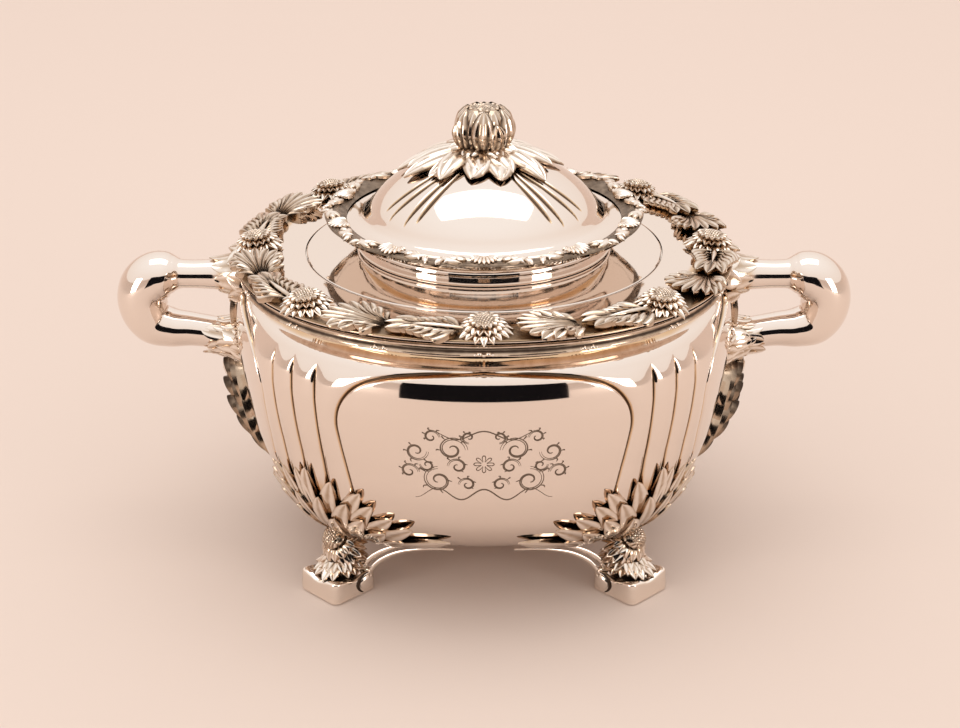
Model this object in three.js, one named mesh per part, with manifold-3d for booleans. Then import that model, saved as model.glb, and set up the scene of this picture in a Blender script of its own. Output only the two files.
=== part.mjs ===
// A covered soup tureen in polished silver: a lobed bowl on four scroll feet, two
// loop handles, a flat top plate with a wreath of blossoms and leaves, and a domed
// lid with a bud finial. Millimetres, +Z up, origin on the floor under the centre,
// +X towards one handle, -Y towards the front.
import * as THREE from "three";
import { mergeVertices } from "three/addons/utils/BufferGeometryUtils.js";
import Module from "manifold-3d";

// ---- Driving dimensions ----
const HANDLE_SPAN = 390; // across the two handles
const TOTAL_HEIGHT = 239.4; // floor to the top of the bud
const BODY_RADIUS = 129.5; // shoulder of the bowl, front to back
const RIM_HEIGHT = 160.8; // underside of the top plate
const BOWL_WALL = 1.8; // sheet of the bowl
const PLATE = 1.5; // sheet of the top plate and of the lid's flat part
const LID_RADIUS = 92.9; // edge of the lift-off lid
const HANDLE_ROD = 8; // radius of a handle's arm
const HANDLE_Z = 146.8; // centre of a handle's upper arm
const PAD_SIDE = 26.9; // one foot pad
const PAD_HEIGHT = 10;
const FLOWER_RADIUS = 13; // one blossom of the wreath
const FINIAL_DIAMETER = 29.7;
const GAP = 0.3; // left between pieces that touch
const FLOWERS = 8; // round the wreath
const SEGMENTS = 40; // round the bowl and its top
const LID_SEGMENTS = 32; // round the lid above its flat edge

// ---- Derived dimensions ----
const SR = BODY_RADIUS / 129.5; // scale of every radius of the body
const SZ = RIM_HEIGHT / 160.8; // scale of every height of the body
const EDGE = 131 * SR; // edge of the top plate
const PLATE_TOP = RIM_HEIGHT + PLATE;
const SL = LID_RADIUS / 92.9; // scale of the lid's radii
const LID_RISE = (TOTAL_HEIGHT - RIM_HEIGHT) / 78.6; // scale of the lid's heights
const WREATH_IN = Math.max(106 * SR, LID_RADIUS + 4);
const BLOOM = Math.min(FLOWER_RADIUS, (EDGE + 2 - WREATH_IN) / 2);
const WREATH_RADIUS = EDGE + 1 - BLOOM;
const PAD_OFFSET = 76.2 * SR; // pad centre, along both X and Y
const DIAGONAL = PAD_OFFSET * Math.SQRT2;

const wasm = await Module();
wasm.setup();

const SILVER = { color: 0xd9d3ca, roughness: 0.12, metalness: 1 };
const SHADED = { color: 0xb9b1a6, roughness: 0.28, metalness: 1 };
const INSIDE = { color: 0xc9c2b8, roughness: 0.2, metalness: 1 };
const STEEL = { color: 0x9a968f, roughness: 0.35, metalness: 1 };

const tureen = new THREE.Group();
tureen.name = "soup_tureen";
const body = new THREE.Group();
body.name = "tureen";
const lid = new THREE.Group();
lid.name = "lid";
tureen.add(body);
tureen.add(lid);

// ---- Solid helpers ----

/** A boolean solid from a closed three.js geometry. */
function toSolid(geometry) {
  const bare = new THREE.BufferGeometry();
  bare.setAttribute("position", geometry.getAttribute("position"));
  if (geometry.index) {
    bare.setIndex(geometry.index);
  }
  const welded = mergeVertices(bare, 1e-4);
  const mesh = new wasm.Mesh({
    numProp: 3,
    vertProperties: new Float32Array(welded.getAttribute("position").array),
    triVerts: new Uint32Array(welded.index.array),
  });
  return new wasm.Manifold(mesh);
}

/** A three.js geometry from a boolean solid. */
function toGeometry(solid) {
  const mesh = solid.getMesh();
  const geometry = new THREE.BufferGeometry();
  geometry.setAttribute("position", new THREE.BufferAttribute(mesh.vertProperties, 3));
  geometry.setIndex(new THREE.BufferAttribute(mesh.triVerts, 1));
  geometry.computeVertexNormals();
  return geometry;
}

/** Adds one named piece to a group. */
function addPiece(group, name, solid, finish) {
  const mesh = new THREE.Mesh(toGeometry(solid), new THREE.MeshStandardMaterial(finish));
  mesh.name = name;
  group.add(mesh);
  return mesh;
}

/**
 * A solid from rings of points. Every ring has the same number of points and runs
 * anticlockwise seen from the last ring; the ends are closed by flat fans, or the last
 * ring joins the first when loop is true.
 */
function skin(rings, loop = false) {
  const n = rings[0].length;
  const positions = [];
  const indices = [];
  for (const ring of rings) {
    for (const p of ring) {
      positions.push(p.x, p.y, p.z);
    }
  }
  const spans = loop ? rings.length : rings.length - 1;
  for (let i = 0; i < spans; i += 1) {
    const a = i * n;
    const b = ((i + 1) % rings.length) * n;
    for (let j = 0; j < n; j += 1) {
      const k = (j + 1) % n;
      indices.push(a + j, a + k, b + k);
      indices.push(a + j, b + k, b + j);
    }
  }
  if (!loop) {
    for (const [base, flip] of [[0, true], [(rings.length - 1) * n, false]]) {
      const ring = rings[base / n];
      const centre = new THREE.Vector3();
      for (const p of ring) {
        centre.addScaledVector(p, 1 / n);
      }
      const hub = positions.length / 3;
      positions.push(centre.x, centre.y, centre.z);
      for (let j = 0; j < n; j += 1) {
        const k = (j + 1) % n;
        if (flip) {
          indices.push(hub, base + k, base + j);
        } else {
          indices.push(hub, base + j, base + k);
        }
      }
    }
  }
  const geometry = new THREE.BufferGeometry();
  geometry.setAttribute("position", new THREE.Float32BufferAttribute(positions, 3));
  geometry.setIndex(indices);
  return toSolid(geometry);
}

/** One level ring round the Z axis, with an optional change of radius by angle. */
function ringAt(radius, z, segments = SEGMENTS, change = () => 0) {
  const ring = [];
  for (let j = 0; j < segments; j += 1) {
    const angle = (2 * Math.PI * j) / segments;
    const r = radius + change(angle, z);
    ring.push(new THREE.Vector3(r * Math.cos(angle), r * Math.sin(angle), z));
  }
  return ring;
}

/** A ring-shaped piece turned from a closed outline of (radius, height) pairs, listed anticlockwise. */
function turnedRing(outline, segments = SEGMENTS, change = () => 0) {
  return skin(outline.map(([r, z]) => ringAt(r, z, segments, change)), true);
}

/** A full turned piece from a list of (radius, height) pairs that climbs. */
function turned(outline, segments = SEGMENTS, change = () => 0) {
  return skin(outline.map(([r, z]) => ringAt(r, z, segments, change)));
}

/** An upright cylinder. */
function cylinder(radius, low, high, segments = 32) {
  return turned([[radius, low], [radius, high]], segments);
}

/** Straight-line reading of a table of (x, y) pairs. */
function readTable(table, x) {
  if (x <= table[0][0]) {
    return table[0][1];
  }
  for (let i = 1; i < table.length; i += 1) {
    const [x0, y0] = table[i - 1];
    const [x1, y1] = table[i];
    if (x <= x1) {
      return y0 + ((y1 - y0) * (x - x0)) / (x1 - x0);
    }
  }
  return table[table.length - 1][1];
}

/** Moves a climbing outline sideways, square to itself: outwards for a positive distance. */
function offsetOutline(outline, distance) {
  return outline.map(([r, z], i) => {
    const [r0, z0] = outline[Math.max(i - 1, 0)];
    const [r1, z1] = outline[Math.min(i + 1, outline.length - 1)];
    const length = Math.hypot(r1 - r0, z1 - z0);
    return [r + (distance * (z1 - z0)) / length, z - (distance * (r1 - r0)) / length];
  });
}

// ---- The bowl ----
const bowlOutline = [
  [40, 24.5], [70, 26.5], [90, 32.5], [104, 42], [114, 54], [121, 71], [125, 88],
  [128, 107], [129.5, 126], [129, 140], [125.5, 147.5], [122.5, 153], [125, 157.6],
  [127.5, 160.5],
].map(([r, z]) => [r * SR, z * SZ]);
// The corners over the feet are fuller than the four sides.
const cornerTable = [
  [24, 0], [36, 3], [46, 4], [58, 3.6], [88, 3], [107, 3.6], [122, 3.4], [136, 1.5], [146, 0],
].map(([z, c]) => [z * SZ, c * SR]);

/** How much fuller the body is than its front profile, at a height and an angle. */
function cornerChange(angle, z) {
  return readTable(cornerTable, z) * 0.5 * (1 - Math.cos(4 * angle));
}

/** Everything within the bowl's outside plus a distance, carried on a little above its edge. */
function envelope(distance) {
  const outline = offsetOutline(bowlOutline, distance);
  const [r, z] = outline[outline.length - 1];
  outline.push([r + 1.7, z + 2]);
  return turned(outline, SEGMENTS, cornerChange);
}

const bowlInside = offsetOutline(bowlOutline, -BOWL_WALL);
bowlInside[bowlInside.length - 1] = [(127.5 - 2.6) * SR, 160.5 * SZ + 1];
const bowl = turned(bowlOutline, SEGMENTS, cornerChange).subtract(turned(bowlInside, SEGMENTS, cornerChange));
addPiece(body, "bowl", bowl, SILVER);
const clearOfBowl = envelope(GAP);

// ---- Top plate, lid seat and the moulding under the rim ----
const openingRadius = LID_RADIUS + 0.5;
const plateRing = turnedRing([
  [openingRadius, RIM_HEIGHT], [EDGE, RIM_HEIGHT], [EDGE + 0.6, RIM_HEIGHT + PLATE / 2],
  [EDGE, PLATE_TOP], [openingRadius, PLATE_TOP],
]);
addPiece(body, "shoulder_plate", plateRing, SILVER);

const seatTop = RIM_HEIGHT - GAP;
const seatInner = LID_RADIUS - 6.3;
addPiece(body, "lid_seat_ring", turnedRing([
  [seatInner, seatTop - 8], [seatInner + 1.6, seatTop - 8], [seatInner + 1.6, seatTop - 1.6],
  [LID_RADIUS + 5, seatTop - 1.6], [LID_RADIUS + 5, seatTop], [seatInner, seatTop],
]), INSIDE);

const handleNotch = new THREE.Matrix4();
/** A round bar along X through both handle roots. */
function barAlongX(radius, z, reach) {
  const geometry = new THREE.CylinderGeometry(radius, radius, 2 * reach, 24);
  handleNotch.makeRotationZ(Math.PI / 2);
  geometry.applyMatrix4(handleNotch);
  geometry.translate(0, 0, z);
  return toSolid(geometry);
}
const scallops = (angle) => 0.7 * SR * Math.cos(10 * angle);
const mouldingBlank = turnedRing([
  [118 * SR, 153 * SZ], [129.4 * SR, 153 * SZ], [130.9 * SR, 155.6 * SZ],
  [130.6 * SR, 160.4 * SZ], [118 * SR, 160.4 * SZ],
], SEGMENTS, scallops);
const moulding = mouldingBlank.subtract(clearOfBowl);
addPiece(body, "rim_moulding", moulding.subtract(barAlongX(HANDLE_ROD + 0.6, HANDLE_Z * SZ, 200 * SR)),
  SHADED);

// ---- The wreath: blossoms and leaf sprays ----

/** A blossom as a low dome with pointed petals round its edge, standing on z = 0. */
function blossom(radius, height, petals) {
  const wave = (angle, z) => radius * 0.07 * Math.cos(petals * angle) * (1 - z / height);
  return turned([
    [radius * 0.86, 0], [radius * 0.93, height * 0.3], [radius * 0.7, height * 0.75],
    [radius * 0.3, height],
  ], petals * 2, wave);
}

/** A curved strip of leaves between two angles, with toothed edges, standing on z = 0. */
function leafSpray(inner, outer, from, to, height, teeth) {
  const low = [];
  const steps = teeth * 2;
  const edge = [];
  for (let i = 0; i <= steps; i += 1) {
    const angle = from + ((to - from) * i) / steps;
    const r = outer - (i % 2 ? 0 : 2.2 * SR);
    edge.push([r * Math.cos(angle), r * Math.sin(angle)]);
  }
  for (let i = steps; i >= 0; i -= 1) {
    const angle = from + ((to - from) * i) / steps;
    const r = inner + (i % 2 ? 0 : 1.8 * SR);
    edge.push([r * Math.cos(angle), r * Math.sin(angle)]);
  }
  for (const [x, y] of edge) {
    low.push(new THREE.Vector2(x, y));
  }
  const geometry = new THREE.ExtrudeGeometry(new THREE.Shape(low), { depth: height, bevelEnabled: false });
  return toSolid(geometry);
}

const wreathBase = PLATE_TOP + GAP;
const wreathHeight = 7.2;
const flowerStep = (2 * Math.PI) / FLOWERS;
for (let k = 0; k < FLOWERS; k += 1) {
  const angle = k * flowerStep;
  const x = WREATH_RADIUS * Math.cos(angle);
  const y = WREATH_RADIUS * Math.sin(angle);
  const flower = addPiece(body, `rim_flower_${k + 1}`, blossom(BLOOM, wreathHeight, 8), SHADED);
  flower.position.set(x, y, wreathBase);
  flower.rotation.z = angle;
}
for (let k = 0; k < FLOWERS; k += 1) {
  const start = k * flowerStep;
  let spray = leafSpray(WREATH_IN, EDGE + 3, start + 0.05, start + flowerStep - 0.05, 4.6, 6);
  for (const side of [0, 1]) {
    const angle = start + side * flowerStep;
    const room = cylinder(BLOOM + 0.9, -1, 9, 16);
    spray = spray.subtract(room.translate([
      WREATH_RADIUS * Math.cos(angle), WREATH_RADIUS * Math.sin(angle), 0,
    ]));
  }
  const leaves = addPiece(body, `rim_leaves_${k + 1}`, spray, SHADED);
  leaves.position.z = wreathBase;
}

// ---- Feet ----

/** A squarish column with rounded corners: half width w at each height of the list. */
function roundedColumn(levels, segments = 16) {
  const rings = levels.map(([half, z]) => {
    const ring = [];
    for (let j = 0; j < segments; j += 1) {
      const angle = (2 * Math.PI * j) / segments;
      const c = Math.cos(angle);
      const s = Math.sin(angle);
      const r = half / Math.pow(Math.abs(c) ** 5 + Math.abs(s) ** 5, 0.2);
      ring.push(new THREE.Vector3(r * c, r * s, z));
    }
    return ring;
  });
  return skin(rings);
}

/** A strip of the body's skin: the shell between two offsets, seen through a leaf-shaped window. */
function skinPatch(window2d, angle, low, high, from = GAP) {
  const geometry = new THREE.ExtrudeGeometry(new THREE.Shape(window2d), { depth: 90 * SR, bevelEnabled: false });
  // The window is drawn as (sideways, height) and looks along the radius.
  geometry.applyMatrix4(new THREE.Matrix4().set(0, 0, 1, 65 * SR, 1, 0, 0, 0, 0, 1, 0, 0, 0, 0, 0, 1));
  const prism = toSolid(geometry).rotate([0, 0, (angle * 180) / Math.PI]);
  const shell = envelope(high).subtract(envelope(from));
  return shell.intersect(prism).subtract(low);
}

const halfPad = PAD_SIDE / 2;
const blossomTop = 38 * SZ;
const padShape = roundedColumn([
  [halfPad * 0.9, 0], [halfPad, 1.6], [halfPad, PAD_HEIGHT - 2.4],
  [halfPad * 0.86, PAD_HEIGHT], [halfPad * 0.6, PAD_HEIGHT + 1.6],
]);
const footBloom = turned([
  [halfPad * 0.55, PAD_HEIGHT + 2], [halfPad * 1.08, PAD_HEIGHT + 5.2],
  [halfPad * 1.02, PAD_HEIGHT + 13], [halfPad * 0.74, PAD_HEIGHT + 21],
  [halfPad * 0.6, Math.max(blossomTop, PAD_HEIGHT + 24)],
  [halfPad * 0.5, Math.max(blossomTop, PAD_HEIGHT + 24) + 8],
], 12).translate([DIAGONAL - 4.5 * SR, 0, 0]);
const footLeafWindow = [
  [0, 80], [5, 66], [10.5, 71], [11.5, 56], [18, 56], [15, 44], [9, 39], [0, 37],
  [-9, 39], [-15, 44], [-18, 56], [-11.5, 56], [-10.5, 71], [-5, 66],
].map(([s, z]) => new THREE.Vector2(s * SR, z * SZ));
footLeafWindow.reverse();
const bloomRoom = turned([
  [halfPad * 0.9, PAD_HEIGHT + 1], [halfPad * 1.15, PAD_HEIGHT + 4],
  [halfPad * 1.12, PAD_HEIGHT + 14], [halfPad * 0.86, PAD_HEIGHT + 22],
  [halfPad * 0.76, Math.max(blossomTop, PAD_HEIGHT + 24) + 9],
], 12).translate([DIAGONAL - 4.5 * SR, 0, 0]);
const corners = ["back_right", "back_left", "front_left", "front_right"];
for (let k = 0; k < 4; k += 1) {
  const angle = Math.PI / 4 + (k * Math.PI) / 2;
  const turn = (angle * 180) / Math.PI;
  const pad = addPiece(body, `foot_pad_${corners[k]}`, padShape, SHADED);
  pad.position.set(DIAGONAL * Math.cos(angle), DIAGONAL * Math.sin(angle), 0);
  pad.rotation.z = angle;
  const bloom = footBloom.rotate([0, 0, turn]).subtract(clearOfBowl);
  addPiece(body, `foot_blossom_${corners[k]}`, bloom, SHADED);
  const leaves = skinPatch(footLeafWindow, angle, bloomRoom.rotate([0, 0, turn]), GAP + 3.4);
  addPiece(body, `foot_leaves_${corners[k]}`, leaves, SHADED);
}

// ---- Handles ----
const reach = HANDLE_SPAN / 2;
const armZ = HANDLE_Z * SZ;
const lowZ = 112 * SZ;
const bowX = reach - 13.2;
const armTable = [
  [120 * SR, armZ, 1, 1], [146 * SR, armZ, 1, 1], [158 * SR, armZ + 0.8, 1.1, 1.1],
  [bowX - 10, armZ + 1.6, 1.36, 1.4], [bowX - 2.6, armZ - 4.4, 1.58, 1.6],
  [bowX, (armZ + lowZ) / 2 + 3.5, 1.64, 1.66], [bowX - 2.6, lowZ + 11.5, 1.55, 1.6],
  [bowX - 10, lowZ + 5.4, 1.36, 1.4], [158 * SR, lowZ + 4.4, 1.08, 1.1],
  [146 * SR, lowZ + 1.6, 1, 1], [116 * SR, lowZ - 4.5, 1, 1],
];

/** An oval bar swept along the handle's loop in the XZ plane. */
function loopBar(table, extra, sides = 12) {
  const centres = new THREE.CatmullRomCurve3(
    table.map(([x, z]) => new THREE.Vector3(x, 0, z)), false, "centripetal");
  const steps = (table.length - 1) * 2;
  const rings = [];
  for (let i = 0; i <= steps; i += 1) {
    const t = i / steps;
    const centre = centres.getPoint(t);
    const tangent = centres.getTangent(t);
    const across = new THREE.Vector3(-tangent.z, 0, tangent.x);
    const place = t * (table.length - 1);
    const thick = readTable(table.map((row, k) => [k, row[2]]), place) * HANDLE_ROD + extra;
    const wide = readTable(table.map((row, k) => [k, row[3]]), place) * HANDLE_ROD + extra;
    const ring = [];
    for (let j = 0; j < sides; j += 1) {
      const angle = (2 * Math.PI * j) / sides;
      ring.push(centre.clone()
        .addScaledVector(across, thick * Math.cos(angle))
        .add(new THREE.Vector3(0, wide * Math.sin(angle), 0)));
    }
    rings.push(ring);
  }
  let solid = skin(rings);
  if (solid.volume() < 0) {
    solid = skin(rings.reverse());
  }
  return solid;
}

const handleSolid = loopBar(armTable, 0).subtract(clearOfBowl);
const handleRoom = loopBar(armTable, GAP + 0.1);
const collarBlank = toSolid(new THREE.CylinderGeometry(HANDLE_ROD + 2.2, HANDLE_ROD + 4, 22 * SR, 16)
  .rotateZ(-Math.PI / 2).translate(134.5 * SR, 0, armZ));
const underRim = cylinder(135 * SR, 152.4 * SZ, 200, SEGMENTS);
const upperCollar = collarBlank.subtract(handleRoom).subtract(clearOfBowl).subtract(underRim);
const calyxTable = [
  [118 * SR, lowZ - 4, 2.2, 2.3], [131 * SR, lowZ - 1.4, 1.85, 2.0], [140 * SR, lowZ + 0.4, 1.5, 1.6],
  [150 * SR, lowZ + 2.6, 1.34, 1.38], [157 * SR, lowZ + 4.2, 1.3, 1.3],
];
const calyxSolid = loopBar(calyxTable, 0).subtract(handleRoom).subtract(clearOfBowl);
const garlandWindow = [
  [0, 40], [2.5, 47], [6, 55], [4.5, 60], [9.5, 66], [7.5, 73], [11, 80], [8, 88], [9, 90],
  [-9, 90], [-8, 88], [-11, 80], [-7.5, 73], [-9.5, 66], [-4.5, 60], [-6, 55], [-2.5, 47],
].map(([s, z]) => new THREE.Vector2(s * SR, z * SZ));
const calyxRoom = loopBar(calyxTable, GAP + 0.2);
const garlandSolid = skinPatch(garlandWindow, 0, calyxRoom, GAP + 3);
for (const [side, turn] of [["right", 0], ["left", 180]]) {
  addPiece(body, `handle_${side}`, handleSolid.rotate([0, 0, turn]), SILVER);
  addPiece(body, `handle_collar_${side}`, upperCollar.rotate([0, 0, turn]), SHADED);
  addPiece(body, `handle_calyx_${side}`, calyxSolid.rotate([0, 0, turn]), SHADED);
  addPiece(body, `side_garland_${side}`, garlandSolid.rotate([0, 0, turn]), SHADED);
}

// ---- Lid ----
const lidZ = (z) => RIM_HEIGHT + (z - 160.8) * LID_RISE; // heights of the lid
const flangeOutline = [
  [62.5 * SL, lidZ(162.7)], [78 * SL, RIM_HEIGHT], [LID_RADIUS, RIM_HEIGHT],
  [LID_RADIUS, PLATE_TOP], [79 * SL, PLATE_TOP + 0.3], [66.8 * SL, lidZ(164.2) + 0.1],
  [62.5 * SL, lidZ(164.2) + 0.1],
];
addPiece(lid, "lid_flange", turnedRing(flangeOutline), SILVER);
const bezelOut = LID_RADIUS - 7.1;
addPiece(lid, "lid_bezel", turnedRing([
  [bezelOut - 1.6, RIM_HEIGHT - 7.5], [bezelOut, RIM_HEIGHT - 7.5],
  [bezelOut, RIM_HEIGHT - GAP], [bezelOut - 1.6, RIM_HEIGHT - GAP],
]), INSIDE);

const neckBase = lidZ(164.2) + 0.1 + GAP;
const flare = [[64.5, 177.2], [72, 178], [80, 179.8]]
  .map(([r, z]) => [r * SL, lidZ(z)]);
const neckOutline = [
  [63.1 * SL, neckBase], [65.8 * SL, neckBase], [66.6 * SL, lidZ(169)],
  [65.6 * SL, lidZ(173)], [67.5 * SL, lidZ(176)], [80 * SL, lidZ(178.4)],
  ...flare.slice().reverse(),
  [63.1 * SL, lidZ(175.6)],
];
addPiece(lid, "lid_neck", turnedRing(neckOutline, LID_SEGMENTS), SILVER);

const domeOutside = [
  [60.4, 178.9], [58.8, 180.4], [56.6, 187], [49.5, 196.5], [35, 206], [18, 212],
].map(([r, z]) => [r * SL, lidZ(z)]);
const flangeBottom = flare.map(([r, z]) => [r, z + GAP]);
const flangeTop = flare.map(([r, z]) => [r, z + GAP + 1.3]);
const domeInside = [
  [17.6, 210.3], [34, 204.5], [48.1, 195.4], [54.9, 186.4], [57.2, 179.6], [60.4, 177.4],
].map(([r, z]) => [r * SL, lidZ(z)]);
const holeRadius = 2.9;
const domeOutline = [
  ...flangeBottom,
  ...flangeTop.slice().reverse(),
  ...domeOutside,
  [holeRadius, lidZ(213.9)], [holeRadius, lidZ(212.2)],
  ...domeInside,
];
addPiece(lid, "lid_dome", turnedRing(domeOutline, LID_SEGMENTS), SILVER);

const borderWave = (angle, z) => (z > lidZ(182.5) ? 0 : 0.8 * SL * Math.cos(8 * angle));
const borderBottom = flare.slice(1).map(([r, z]) => [r, z + 2 * GAP + 1.5]);
addPiece(lid, "lid_border", turnedRing([
  [70.4 * SL, borderBottom[0][1]],
  ...borderBottom,
  [83 * SL, borderBottom[1][1] + 1.4], [80.5 * SL, lidZ(185)], [74.5 * SL, lidZ(184.6)],
], LID_SEGMENTS, borderWave), SHADED);

// ---- Finial ----
const bud = FINIAL_DIAMETER / 2;
const budLow = lidZ(217.8);
const budTop = TOTAL_HEIGHT;
const budRise = budTop - budLow;
const stud = 2.5;
const leafSheet = [
  [holeRadius, lidZ(214.3)], [18 * SL, lidZ(212.4)], [35 * SL, lidZ(206.4)], [42.5 * SL, lidZ(201.6)],
];
const leafTop = [
  [43.5 * SL, lidZ(203.6)], [33 * SL, lidZ(210.2)], [18 * SL, lidZ(216)], [holeRadius, lidZ(217.4)],
];
const leafStar = (angle, z) => (z < lidZ(205) ? 3.2 * SL * Math.cos(8 * angle) : 0);
const starSheet = turnedRing([...leafSheet, ...leafTop], LID_SEGMENTS, leafStar);
const clearOfDome = turned([...domeOutside, [holeRadius, lidZ(213.9)]]
  .map(([r, z]) => [r, z + GAP]), LID_SEGMENTS);
addPiece(lid, "finial_leaves", starSheet.subtract(clearOfDome), SHADED);
const budSolid = turned([
  [bud * 0.52, budLow], [bud * 0.86, budLow + budRise * 0.16], [bud, budLow + budRise * 0.42],
  [bud * 0.95, budLow + budRise * 0.68], [bud * 0.72, budLow + budRise * 0.9],
  [bud * 0.4, budTop],
], 16);
addPiece(lid, "finial_bud", budSolid.subtract(cylinder(holeRadius, budLow - 1, budLow + budRise * 0.55, 16)),
  SHADED);
const washerTop = lidZ(211.5) - GAP;
addPiece(lid, "finial_washer", turnedRing([
  [holeRadius, washerTop - 1.4], [8 * SL, washerTop - 1.4], [8 * SL, washerTop],
  [holeRadius, washerTop],
], 24), STEEL);
const nutTop = washerTop - 1.4 - GAP;
const nutSolid = cylinder(5.6, nutTop - 4.4, nutTop, 6)
  .subtract(cylinder(holeRadius, nutTop - 6, nutTop + 2, 16));
addPiece(lid, "finial_nut", nutSolid, STEEL);
addPiece(lid, "finial_stud", cylinder(stud, nutTop - 7, budLow + budRise * 0.55 - GAP, 16), STEEL);

export default tureen;
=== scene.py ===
"""A covered silver soup tureen: lobed bowl, scroll feet, loop handles, floral rim, domed lid.

Every new piece is a surface worked out with numpy in millimetres, in the frame of the
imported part, and put into a mesh in metres. Leaves and petals are small sheets laid on a
chart, which is a rule that turns two lengths and a height into a point on the host surface.
"""

from __future__ import annotations

import logging
from dataclasses import dataclass, field
from enum import Enum
from typing import Callable, Sequence

import bpy
import numpy as np
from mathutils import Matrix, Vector

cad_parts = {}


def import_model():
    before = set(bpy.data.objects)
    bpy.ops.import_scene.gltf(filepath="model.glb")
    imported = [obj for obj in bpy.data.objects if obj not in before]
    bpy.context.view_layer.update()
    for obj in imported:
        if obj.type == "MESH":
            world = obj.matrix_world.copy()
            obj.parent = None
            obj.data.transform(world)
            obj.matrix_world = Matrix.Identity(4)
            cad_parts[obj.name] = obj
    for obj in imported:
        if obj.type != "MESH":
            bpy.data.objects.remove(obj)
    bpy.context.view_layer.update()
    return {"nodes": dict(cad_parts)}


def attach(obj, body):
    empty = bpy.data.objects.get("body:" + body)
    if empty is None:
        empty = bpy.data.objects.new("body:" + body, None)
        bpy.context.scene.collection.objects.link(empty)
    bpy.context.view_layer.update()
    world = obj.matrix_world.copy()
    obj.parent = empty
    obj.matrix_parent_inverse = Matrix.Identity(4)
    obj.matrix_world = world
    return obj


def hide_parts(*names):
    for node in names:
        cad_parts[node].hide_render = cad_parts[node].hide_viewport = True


LOG = logging.getLogger("tureen")
MM = 0.001
UNDERSIDE = 0.4
Array = np.ndarray
Chart = Callable[[Array, Array, Array], Array]


class Wrap(Enum):
    """Which directions of a grid of points join up."""

    ROUND = "round"
    BOTH = "both"


class Corner(Enum):
    """The four corners of the bowl, by the azimuth of their foot in degrees."""

    back_right = 45.0
    back_left = 135.0
    front_left = 225.0
    front_right = 315.0


class Side(Enum):
    """The two handle sides, by azimuth in degrees."""

    right = 0.0
    left = 180.0


# ---------------------------------------------------------------- numbers


def smooth_step(x: Array) -> Array:
    """Returns 0 below 0, 1 above 1 and the cubic 3x^2 - 2x^3 between."""
    t = np.clip(x, 0.0, 1.0)
    return t * t * (3.0 - 2.0 * t)


def bell(x: Array) -> Array:
    """Returns the bell curve e to the minus x squared."""
    return np.exp(-np.square(x))


def polar(radius: Array, angle: Array, height: Array) -> Array:
    """Returns points r cos a, r sin a and z, with the three arrays spread to one shape."""
    return np.stack(np.broadcast_arrays(radius * np.cos(angle), radius * np.sin(angle), height), axis=-1)


def swing(x: Array, y: Array, z: Array, angle: float) -> Array:
    """Returns points turned round the Z axis: x cos a - y sin a, x sin a + y cos a and z."""
    c, s = np.cos(angle), np.sin(angle)
    return np.stack(np.broadcast_arrays(x * c - y * s, x * s + y * c, z), axis=-1)


def cells(*corners: Array) -> Array:
    """Returns quads from four grids of point numbers, taken in order round each quad."""
    return np.stack(corners, axis=-1).reshape(-1, 4)


def stand_in(piece: bpy.types.Object, body: str, node: str) -> None:
    """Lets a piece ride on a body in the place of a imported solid."""
    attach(piece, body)
    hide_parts(node)


def spline(points: Sequence[Sequence[float]], count: int) -> Array:
    """Reads a smooth curve through points: cubic Hermite spans with centred slopes.

    Args:
        points: the points the curve goes through, of any dimension.
        count: how many samples to return, evenly spaced in the chord length.

    Returns:
        An array of count points.
    """
    p = np.asarray(points, float)
    k = np.concatenate([[0.0], np.cumsum(np.linalg.norm(np.diff(p, axis=0), axis=1))])
    m = np.gradient(p, k, axis=0)
    x = np.linspace(0.0, k[-1], count)
    i = np.clip(np.searchsorted(k, x, side="right") - 1, 0, len(k) - 2)
    h = (k[i + 1] - k[i])[:, None]
    t = ((x - k[i]) / (k[i + 1] - k[i]))[:, None]
    return (
        (2 * t**3 - 3 * t**2 + 1) * p[i]
        + (t**3 - 2 * t**2 + t) * h * m[i]
        + (-2 * t**3 + 3 * t**2) * p[i + 1]
        + (t**3 - t**2) * h * m[i + 1]
    )


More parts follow.
